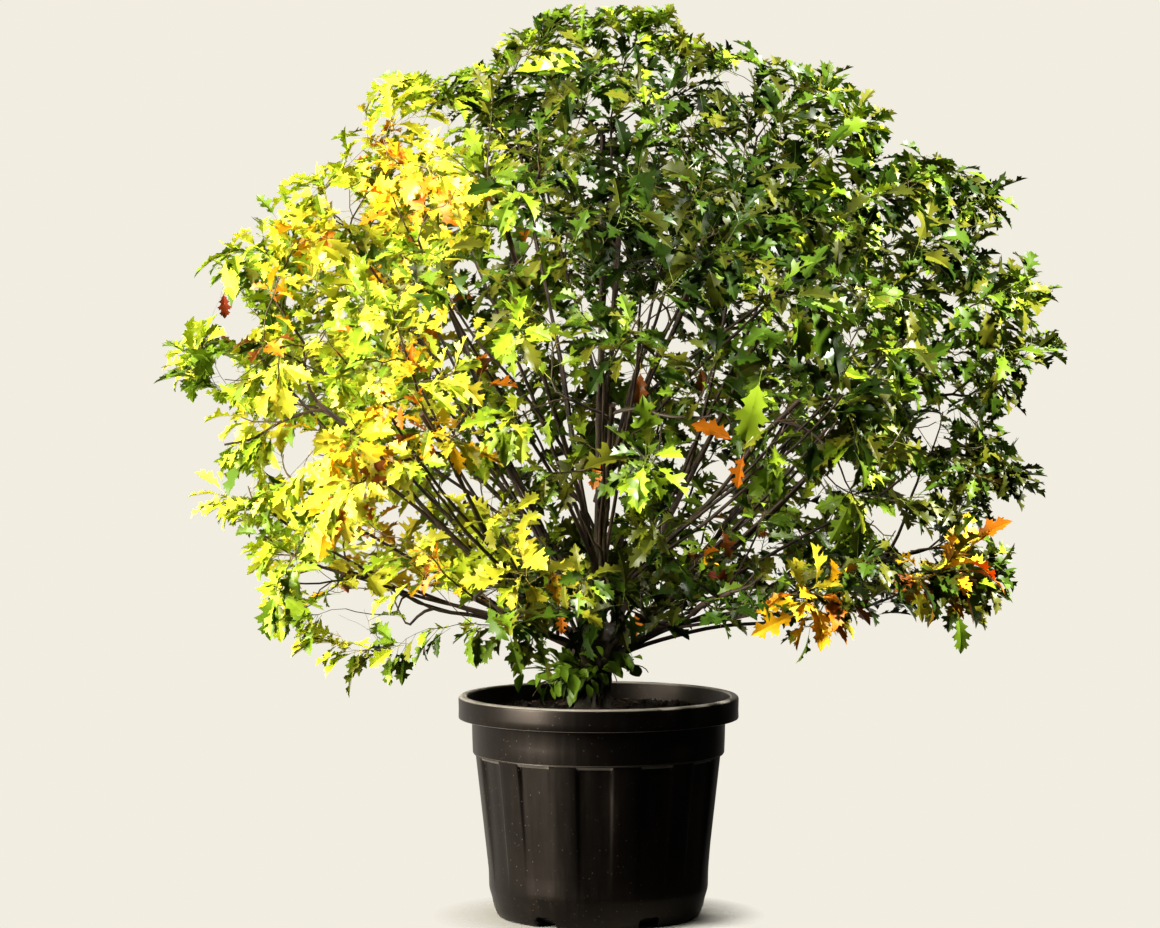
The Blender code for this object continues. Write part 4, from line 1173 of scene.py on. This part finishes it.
def leafVariant(seed, outline, midrib):
    # (blade corners, blade faces, stalk corners, stalk faces) of a leaf of length 1 on its stalk
    rng = random.Random(seed)
    curl, fold = rng.uniform(0.20, 1.10), rng.uniform(0.22, 0.66)
    twist, wave = rng.uniform(-0.5, 0.5), rng.uniform(0.05, 0.20)
    wide = rng.uniform(0.84, 1.08)

    def curled(x, y):
        # a place of the flat leaf: folded along its midrib, curled along its length, wavy at the lobes
        lift = fold * abs(y) + wave * y * math.sin(x * 13 + (2 if y > 0 else 0))
        across = y * math.cos(twist * x) - lift * math.sin(twist * x)
        rise = y * math.sin(twist * x) + lift * math.cos(twist * x)
        angle = curl * x
        along, down = math.sin(angle) / curl, (1 - math.cos(angle)) / curl
        return leaf["stalk"] + along + rise * math.sin(angle), across, rise * math.cos(angle) - down

    bm = flatBlade(outline, midrib, rng.uniform(0.05, 0.55))
    bmesh.ops.scale(bm, verts=bm.verts, vec=(1, wide, 1))
    blade = np.array([curled(vert.co.x, vert.co.y) for vert in bm.verts])
    faces = [tuple(vert.index for vert in face.verts) for face in bm.faces]
    bm.free()
    # the stalk runs on into the blade as its midrib
    thick = leaf["stalkRadius"]
    line = [Vector((leaf["stalk"] * share, 0, 0)) for share in (0.0, 1.0)]
    line += [Vector(curled(leaf["ribShare"] * share, 0.0)) for share in (0.45, 1.0)]
    radii = [thick * (1 - 0.25 * share) for share in (0.0, 1.0)]
    radii += [thick * 0.7 + (leaf["ribEnd"] - thick * 0.7) * share for share in (0.45, 1.0)]
    stalk, stalkFaces = tubeShape(line, radii, 3)
    return blade, faces, np.array([tuple(corner) for corner in stalk]), stalkFaces


def leafFrame(root, heading, face, length):
    # lays a leaf of length 1 from root along heading, its upper side towards face
    x = heading.normalized()
    z = (face - x * face.dot(x)).normalized()
    turn = Matrix((x, z.cross(x), z)).transposed().to_4x4()
    return Matrix.Translation(root) @ turn @ Matrix.Diagonal((length, length, length, 1.0))


def tintOf(warmth):
    return min(tints, key=lambda tint: abs(tint[1] - warmth))[0]


def warmthAt(place, rng):
    # where the leaves sit on the scale, partly how far they have turned and partly painted light and shade:
    # most on the left, where painted light adds to the real yellowing, least on the right and high in the
    # middle, where shade is painted
    # the left's rise up the scale is partly real yellowing and partly painted light: its leaves are made
    # lighter where the light falls on them
    left = smoothStep(-place.x, 0.00, 0.28) * (1 - turning["farLeft"] * smoothStep(-place.x, 0.34, 0.56))
    drift = noise.noise(place * 5.5 + Vector((7, 3, 1)))
    warmth = turning["right"] + turning["left"] * left + drift * turning["drift"]
    warmth += rng.gauss(0, turning["spread"] + turning["spreadLeft"] * left)
    warmth += turning["lowLeft"] * left * smoothStep(0.95 - place.z, 0.0, 0.35)
    # painted light: the leaves at the top are a step lighter, as if lit from above
    warmth += turning["top"] * smoothStep(place.z, 1.18, 1.27)
    warmth += turning["low"] * smoothStep(0.70 - place.z, 0.0, 0.15)
    # painted shade: the middle of the crown, below the top's overhang, gets deeper greens, standing in for
    # the shade cast there
    middle = math.exp(-(((place.x - 0.04) / 0.17) ** 2)) * smoothStep(place.z, 0.72, 0.86)
    warmth += turning["middle"] * middle * smoothStep(1.24 - place.z, 0.0, 0.08)
    return max(turning["least"], min(turning["most"], warmth))


def isRusty(place, rng):
    # True for a few sprays inside the crown, low down or on the left
    likely = leaf["rustyInside"] if skinShare(place) < 0.60 else leaf["rustyOutside"]
    return (place.x < 0.0 or place.z < 0.72) and rng.random() < likely


def shutsClearing(place):
    # True if a place lies in front of or behind a clearing, as the camera sees it
    nearer = eye["distance"] / (eye["distance"] + place.y)
    across = (place.x - eye["across"]) * nearer + eye["across"]
    height = eye["height"] - (eye["height"] - place.z) * nearer
    return any(math.hypot(across - x, height - z) < radius for x, z, radius in clearings)


def leafFits(frameMatrix, lowest, beyond):
    # True if a leaf keeps inside the outline and the solids' box, and off the limbs and the clearings
    corners = [frameMatrix @ Vector(corner) for corner in leaf["corners"]]
    margin = leaf["inBox"]
    if any(shutsClearing(place) for place in corners + [(corners[0] + corners[3]) / 2]):
        return False
    for corner in corners:
        if any(corner[i] < cadLow[i] + margin or corner[i] > cadHigh[i] - margin for i in range(3)):
            return False
        if corner.z < (stepsAt(crown["hem"], corner.x) if lowest is None else lowest):
            return False
        if corner.z > leaf["outlineFrom"] and outlineShare(corner) > 1 + beyond:
            return False
    blade = BVHTree.FromPolygons(corners, [(0, 1, 2), (1, 3, 2)])
    return not blade.overlap(limbTree)


def leafRoots(points, count, rng):
    # where leaves start: (place, direction) of a rosette at the twig's tip and of some along it
    tip, onward = points[-1], (points[-1] - points[-2]).normalized()
    roots = [(tip - onward * (0.002 + 0.004 * i), onward) for i in range(count)]
    travelled, since, index = 0.0, 0.0, len(points) - 1
    while index > 1 and travelled < leaf["alongReach"]:
        step = points[index - 1] - points[index]
        travelled += step.length
        since += step.length
        index -= 1
        if since > leaf["alongSpacing"] and rng.random() < leaf["alongChance"]:
            roots.append((points[index], -step.normalized()))
            since = 0.0
    return roots


def anyTilt(most, rng):
    return Vector([rng.uniform(-most, most) for _ in range(3)])


def growSpray(points, warmth, leaves, length, rng):
    # leaves at the end of a twig and, here and there, along it: (variant, frame, tint) rows
    tip = points[-1]
    lowest = None if warmth is None else tip.z - leaf["hang"]
    beyond = leaf["overshoot"] if warmth is None else leaf["accentOvershoot"]
    if leaves == 1:
        # a single leaf hangs from its twig and faces the front
        heading = Vector((rng.uniform(-0.3, 0.3), -0.35, -1.0))
        place = leafFrame(tip, heading, Vector((0.1, -1.0, 0.45)), length)
        return [(rng.randrange(leaf["variants"]), place, tintOf(warmth))]
    if warmth is None:
        warmth = warmthAt(tip, rng)
        if isRusty(tip, rng):
            warmth, leaves = rng.choice(leaf["rusty"]), rng.randint(1, 4)
    if length is None:
        length = rng.gauss(leaf["length"], leaf["lengthSpread"]) * (1.0 - 0.12 * smoothStep(tip.z, 0.95, 1.2))
    roots = leafRoots(points, leaves or rng.randint(*leaf["inRosette"]), rng)
    if leaves and leaves < 5:
        roots = roots[:leaves]
    out = tip - crown["middle"]
    out.z *= 0.4
    out.normalize()
    spin, grown = rng.uniform(0, fullTurn), []
    for number, (root, along) in enumerate(roots):
        side = along.orthogonal().normalized()
        for attempt in range(leaf["tries"]):
            turn = Matrix.Rotation(spin + number * leaf["turn"] + attempt * leaf["turnAgain"], 3, along)
            spread = math.radians(rng.uniform(*leaf["spread"]))
            direction = along * math.cos(spread) + (turn @ side) * math.sin(spread)
            direction.z -= rng.uniform(*leaf["droop"]) * (1 - 2.1 * smoothStep(tip.z, 1.08, 1.22))
            face = out * 0.45 + upward(1.0) + anyTilt(0.55, rng)
            size = max(leaf["shortest"], min(leaf["longest"], length * rng.uniform(*leaf["sizes"])))
            place = leafFrame(root, direction, face, size)
            if leafFits(place, lowest, beyond):
                tint = tintOf(warmth + rng.gauss(0, leaf["tintSpread"]))
                grown.append((rng.randrange(leaf["variants"]), place, tint))
                break
    return grown


def makeTintFinish(name, colour):
    # the deeper the green, the less it shines
    finish, tree, surface = newFinish(name, leaf["roughness"])
    feed(tree, surface["Base Color"], colour)
    feed(tree, surface["Specular IOR Level"], leaf["gloss"] * (0.55 + 0.45 * min(1.0, colour[1] / 0.2)))
    return finish


def placedShapes(rows, variants, part):
    # the blades (part 0) or stalks (part 2) of many leaves, each moved to its place
    shapes = []
    for variant, place, _ in rows:
        corners, faces = variants[variant][part:part + 2]
        moved = corners @ np.array(place.to_3x3()).T + np.array(place.translation)
        shapes.append((moved.tolist(), faces))
    return shapes


limbCorners, limbFaces = [], []
for piece in [trunkPiece] + [bpy.data.objects[f"boughBark_{mass.name}"] for mass in masses]:
    first = len(limbCorners)
    limbCorners += [vert.co.copy() for vert in piece.data.vertices]
    limbFaces += [tuple(corner + first for corner in face.vertices) for face in piece.data.polygons]
limbTree = BVHTree.FromPolygons(limbCorners, limbFaces)

outlines = (leaf["broadOutline"], leaf["deepOutline"])
variants = [leafVariant(40 + i, outlines[i % 2], leaf["midrib"]) for i in range(leaf["variants"])]
woodyShapes, youngShapes, leafRows = [], [], []
rim = rimSites()
for index, mass in enumerate(masses):
    rng = random.Random(100 + index)
    twigs, sprays = growMass(mass, rim[mass.name], rng)
    for kind, points, radii in twigs:
        shapes = youngShapes if kind == "fine" else woodyShapes
        shapes.append(tubeShape(points, radii, twig["sides"][kind]))
    before = len(leafRows)
    for points, *wanted in sprays:
        leafRows += growSpray(points, *wanted, rng)
    print(f"{mass.name}: {len(twigs)} twigs, {len(leafRows) - before} leaves")

foliageNodes = [f"foliage_{mass.name}" for mass in masses]
woodyFinish = makeTwigFinish("woodyTwig", twig["woodyDark"], twig["woodyLight"])
youngFinish = makeTwigFinish("youngTwig", twig["youngDark"], twig["youngLight"])
addPiece("twigsWoody", joinedMesh(woodyShapes), woodyFinish, "bark", *foliageNodes)
addPiece("twigsYoung", joinedMesh(youngShapes), youngFinish, "bark", *foliageNodes)
for name, _, colour in tints:
    rows = [row for row in leafRows if row[2] == name]
    mesh = joinedMesh(placedShapes(rows, variants, 0), 25)
    addPiece(f"leaves_{name}", mesh, makeTintFinish(name, colour), "foliage", *foliageNodes)
    print(f"leaves {name}: {len(rows)}")
yellowNames = [name for name, warmth, _ in tints if warmth > leaf["yellowFrom"]]
for label, isYellow in (("Green", False), ("Yellow", True)):
    rows = [row for row in leafRows if (row[2] in yellowNames) == isYellow]
    mesh = joinedMesh(placedShapes(rows, variants, 2))
    finish = makeTintFinish(f"leafStalks{label}", leaf[f"stalks{label}"])
    addPiece(f"leafStalks{label}", mesh, finish, "foliage", *foliageNodes)
print(f"{len(leafRows)} leaves in all")


# Shoots round the trunk's foot

shoot = {
    "radius": 0.0020, "tipRadius": 0.0009, "leafLength": (0.018, 0.034), "stems": (-46, -30, -15, 0, 16, 32),
    "low": 0.3000, "high": 0.395, "variants": 5, "points": 9, "sides": 6,
    "green": (0.170, 0.280, 0.022), "stemDark": (0.05, 0.06, 0.015), "stemLight": (0.10, 0.12, 0.03),
}
# name, turn, share of the trunk's height, reach, height at the tip
shoots = (
    ("shoot_left", 196, 0.34, 0.118, 0.336),
    ("shoot_front", 240, 0.40, 0.084, 0.350),
    ("shoot_right", 330, 0.44, 0.060, 0.372),
)
# dry stems without leaves, by the same measures
wisp = {"points": 12, "sides": 5, "radius": 0.0013, "taper": 0.00006}
wisps = (
    (205, 0.40, 0.100, 0.318), (245, 0.34, 0.075, 0.330), (290, 0.42, 0.085, 0.340),
    (20, 0.36, 0.080, 0.345), (100, 0.34, 0.070, 0.350), (150, 0.30, 0.085, 0.338),
)


def shootLeaves(points, rng, variants):
    # pairs of small leaves along a shoot, where they clear the compost
    rows = []
    for index in range(2, len(points), 2):
        onward = (points[index] - points[index - 1]).normalized()
        side = onward.orthogonal().normalized()
        for half in range(2):
            turn = Matrix.Rotation(index * 1.3 + half * math.pi + rng.uniform(-0.4, 0.4), 3, onward)
            direction = onward * 0.45 + (turn @ side) - upward(0.35)
            face = Vector((0, -0.45, 0.85)) + anyTilt(0.4, rng)
            place = leafFrame(points[index], direction, face, rng.uniform(*shoot["leafLength"]))
            if shoot["low"] < (place @ Vector((1.2, 0, 0))).z < shoot["high"]:
                rows.append((rng.randrange(len(variants)), place, "shoot"))
    return rows


oval = (leaf["ovalOutline"], leaf["ovalMidrib"])
smallVariants = [leafVariant(90 + i, *oval) for i in range(shoot["variants"])]
shootFinish = makeTintFinish("shootLeaf", shoot["green"])
stemFinish = makeTwigFinish("shootStem", shoot["stemDark"], shoot["stemLight"])
for index, (name, turn, share, reach, height) in enumerate(shoots):
    rng = random.Random(200 + index)
    stems, rows = [], []
    for side in shoot["stems"]:
        start = trunkPoint(share + rng.uniform(-0.08, 0.10))
        way = outward(turn + side)
        tip = start + way * reach * rng.uniform(0.65, 1.0)
        tip.z = height + rng.uniform(-0.015, 0.020)
        line = bend(start, way + upward(0.6), tip, way - upward(0.3), shoot["points"])
        taper, last = shoot["tipRadius"] - shoot["radius"], shoot["points"] - 1
        radii = [shoot["radius"] + taper * i / last for i in range(shoot["points"])]
        stems.append(tubeShape(line, radii, shoot["sides"]))
        rows += shootLeaves(line[1:], rng, smallVariants)
    addPiece(f"{name}_stems", joinedMesh(stems), stemFinish, "bark", name)
    addPiece(f"{name}_leaves", joinedMesh(placedShapes(rows, smallVariants, 0)), shootFinish, "foliage", name)
wispShapes = []
for turn, share, reach, height in wisps:
    start, way = trunkPoint(share), outward(turn)
    end = start + way * reach
    end.z = height
    line = bend(start, way + upward(0.9), end, way * 0.5 - upward(1), wisp["points"])
    radii = [wisp["radius"] - wisp["taper"] * i for i in range(wisp["points"])]
    wispShapes.append(tubeShape(line, radii, wisp["sides"]))
addPiece("wisps", joinedMesh(wispShapes), youngFinish, "bark")
print("shoots: done")


# Studio

studio = {
    "seen": (0.745, 0.715, 0.640), "cream": (0.887, 0.843, 0.752),
    "floor": (0.36, 0.348, 0.316), "floorRadius": 0.6, "fade": (0.146, 0.24),
    # how much of the cream light the plant gets from the front and from behind, and which way is brightest
    "front": 0.03, "behind": 0.74, "brightSide": (-0.80, 0.60, 0.0),
    "camera": Vector((eye["across"], -eye["distance"], eye["height"])), "aim": Vector((-0.0265, 0.0, 0.6463)),
    "pictureWidth": 1.6513,
    # place, aim height, size, power, how much it shines on gloss, colour
    "lights": {
        "key": ((-2.4, -1.1, 2.2), 0.85, 0.35, 72, 1.0, (1.0, 0.97, 0.90)),
        "fill": ((-2.4, -1.3, 1.15), 0.90, 1.6, 172, 0.25, (1.0, 0.97, 0.90)),
        "top": ((2.1, -0.8, 2.7), 0.80, 0.36, 276, 1.0, (1.0, 0.985, 0.93)),
        "low": ((-2.0, -1.6, 0.40), 0.36, 0.5, 18, 1.0, (1.0, 0.94, 0.86)),
    },
}


def blended(tree, share, first, second):
    # one shader that fades into another
    return addNode(tree, "MixShader", {0: share, 1: first, 2: second}).outputs[0]


def makeFloor():
    # a pale disc that fades into the background at its rim
    bm = bmesh.new()
    bmesh.ops.create_circle(bm, segments=96, radius=studio["floorRadius"], cap_ends=True)
    bmesh.ops.translate(bm, verts=bm.verts, vec=(0, 0, -0.0005))
    floor = newObject("floor", meshOf(bm))
    finish, tree, surface = newFinish("paleFloor", 0.9)
    feed(tree, surface["Base Color"], studio["floor"])
    length = addNode(tree, "VectorMath", {0: objectPlace(tree)}, operation="LENGTH")
    fade = mapRange(tree, length.outputs["Value"], *studio["fade"], 0.0, 1.0)
    clear = addNode(tree, "BsdfTransparent", {}).outputs[0]
    solid = tree.nodes["Principled BSDF"].outputs[0]
    feed(tree, tree.nodes["Material Output"].inputs["Surface"], blended(tree, fade, solid, clear))
    floor.data.materials.append(finish)


def makeWorld():
    # the camera sees the cream background, and the plant gets its light mostly from the left and behind
    world = bpy.data.worlds.new("studioWorld")
    world.use_nodes = True
    tree = world.node_tree
    seen = tree.nodes["Background"]
    feed(tree, seen.inputs["Color"], studio["seen"])
    way = addNode(tree, "TexCoord", {}).outputs["Generated"]
    way = addNode(tree, "VectorMath", {0: way, 1: studio["brightSide"]}, operation="DOT_PRODUCT")
    strength = mapRange(tree, way.outputs["Value"], 0.0, 0.70, studio["front"], studio["behind"])
    ambient = addNode(tree, "Background", {"Color": studio["cream"], "Strength": strength})
    isSeen = addNode(tree, "LightPath", {}).outputs["Is Camera Ray"]
    light = blended(tree, isSeen, ambient.outputs[0], seen.outputs[0])
    feed(tree, tree.nodes["World Output"].inputs["Surface"], light)
    bpy.context.scene.world = world


def aimed(item, place, aim):
    item.location = place
    item.rotation_euler = (aim - Vector(place)).to_track_quat("-Z", "Y").to_euler()
    return item


def makeLights():
    for name, (place, aimHeight, size, power, shine, colour) in studio["lights"].items():
        light = bpy.data.lights.new(name, "AREA")
        light.size, light.energy, light.specular_factor, light.color = size, power, shine, colour
        lamp = aimed(newObject(name, light), place, upward(aimHeight))
        lamp.visible_camera = False


def makeCamera():
    lens = bpy.data.cameras.new("camera")
    lens.sensor_width = 36.0
    lens.lens = lens.sensor_width * (studio["aim"] - studio["camera"]).length / studio["pictureWidth"]
    bpy.context.scene.camera = aimed(newObject("camera", lens), studio["camera"], studio["aim"])


makeFloor()
makeWorld()
makeLights()
makeCamera()
bpy.context.scene.view_settings.view_transform = "Standard"
bpy.context.scene.view_settings.look = "Medium High Contrast"
print("studio: done")
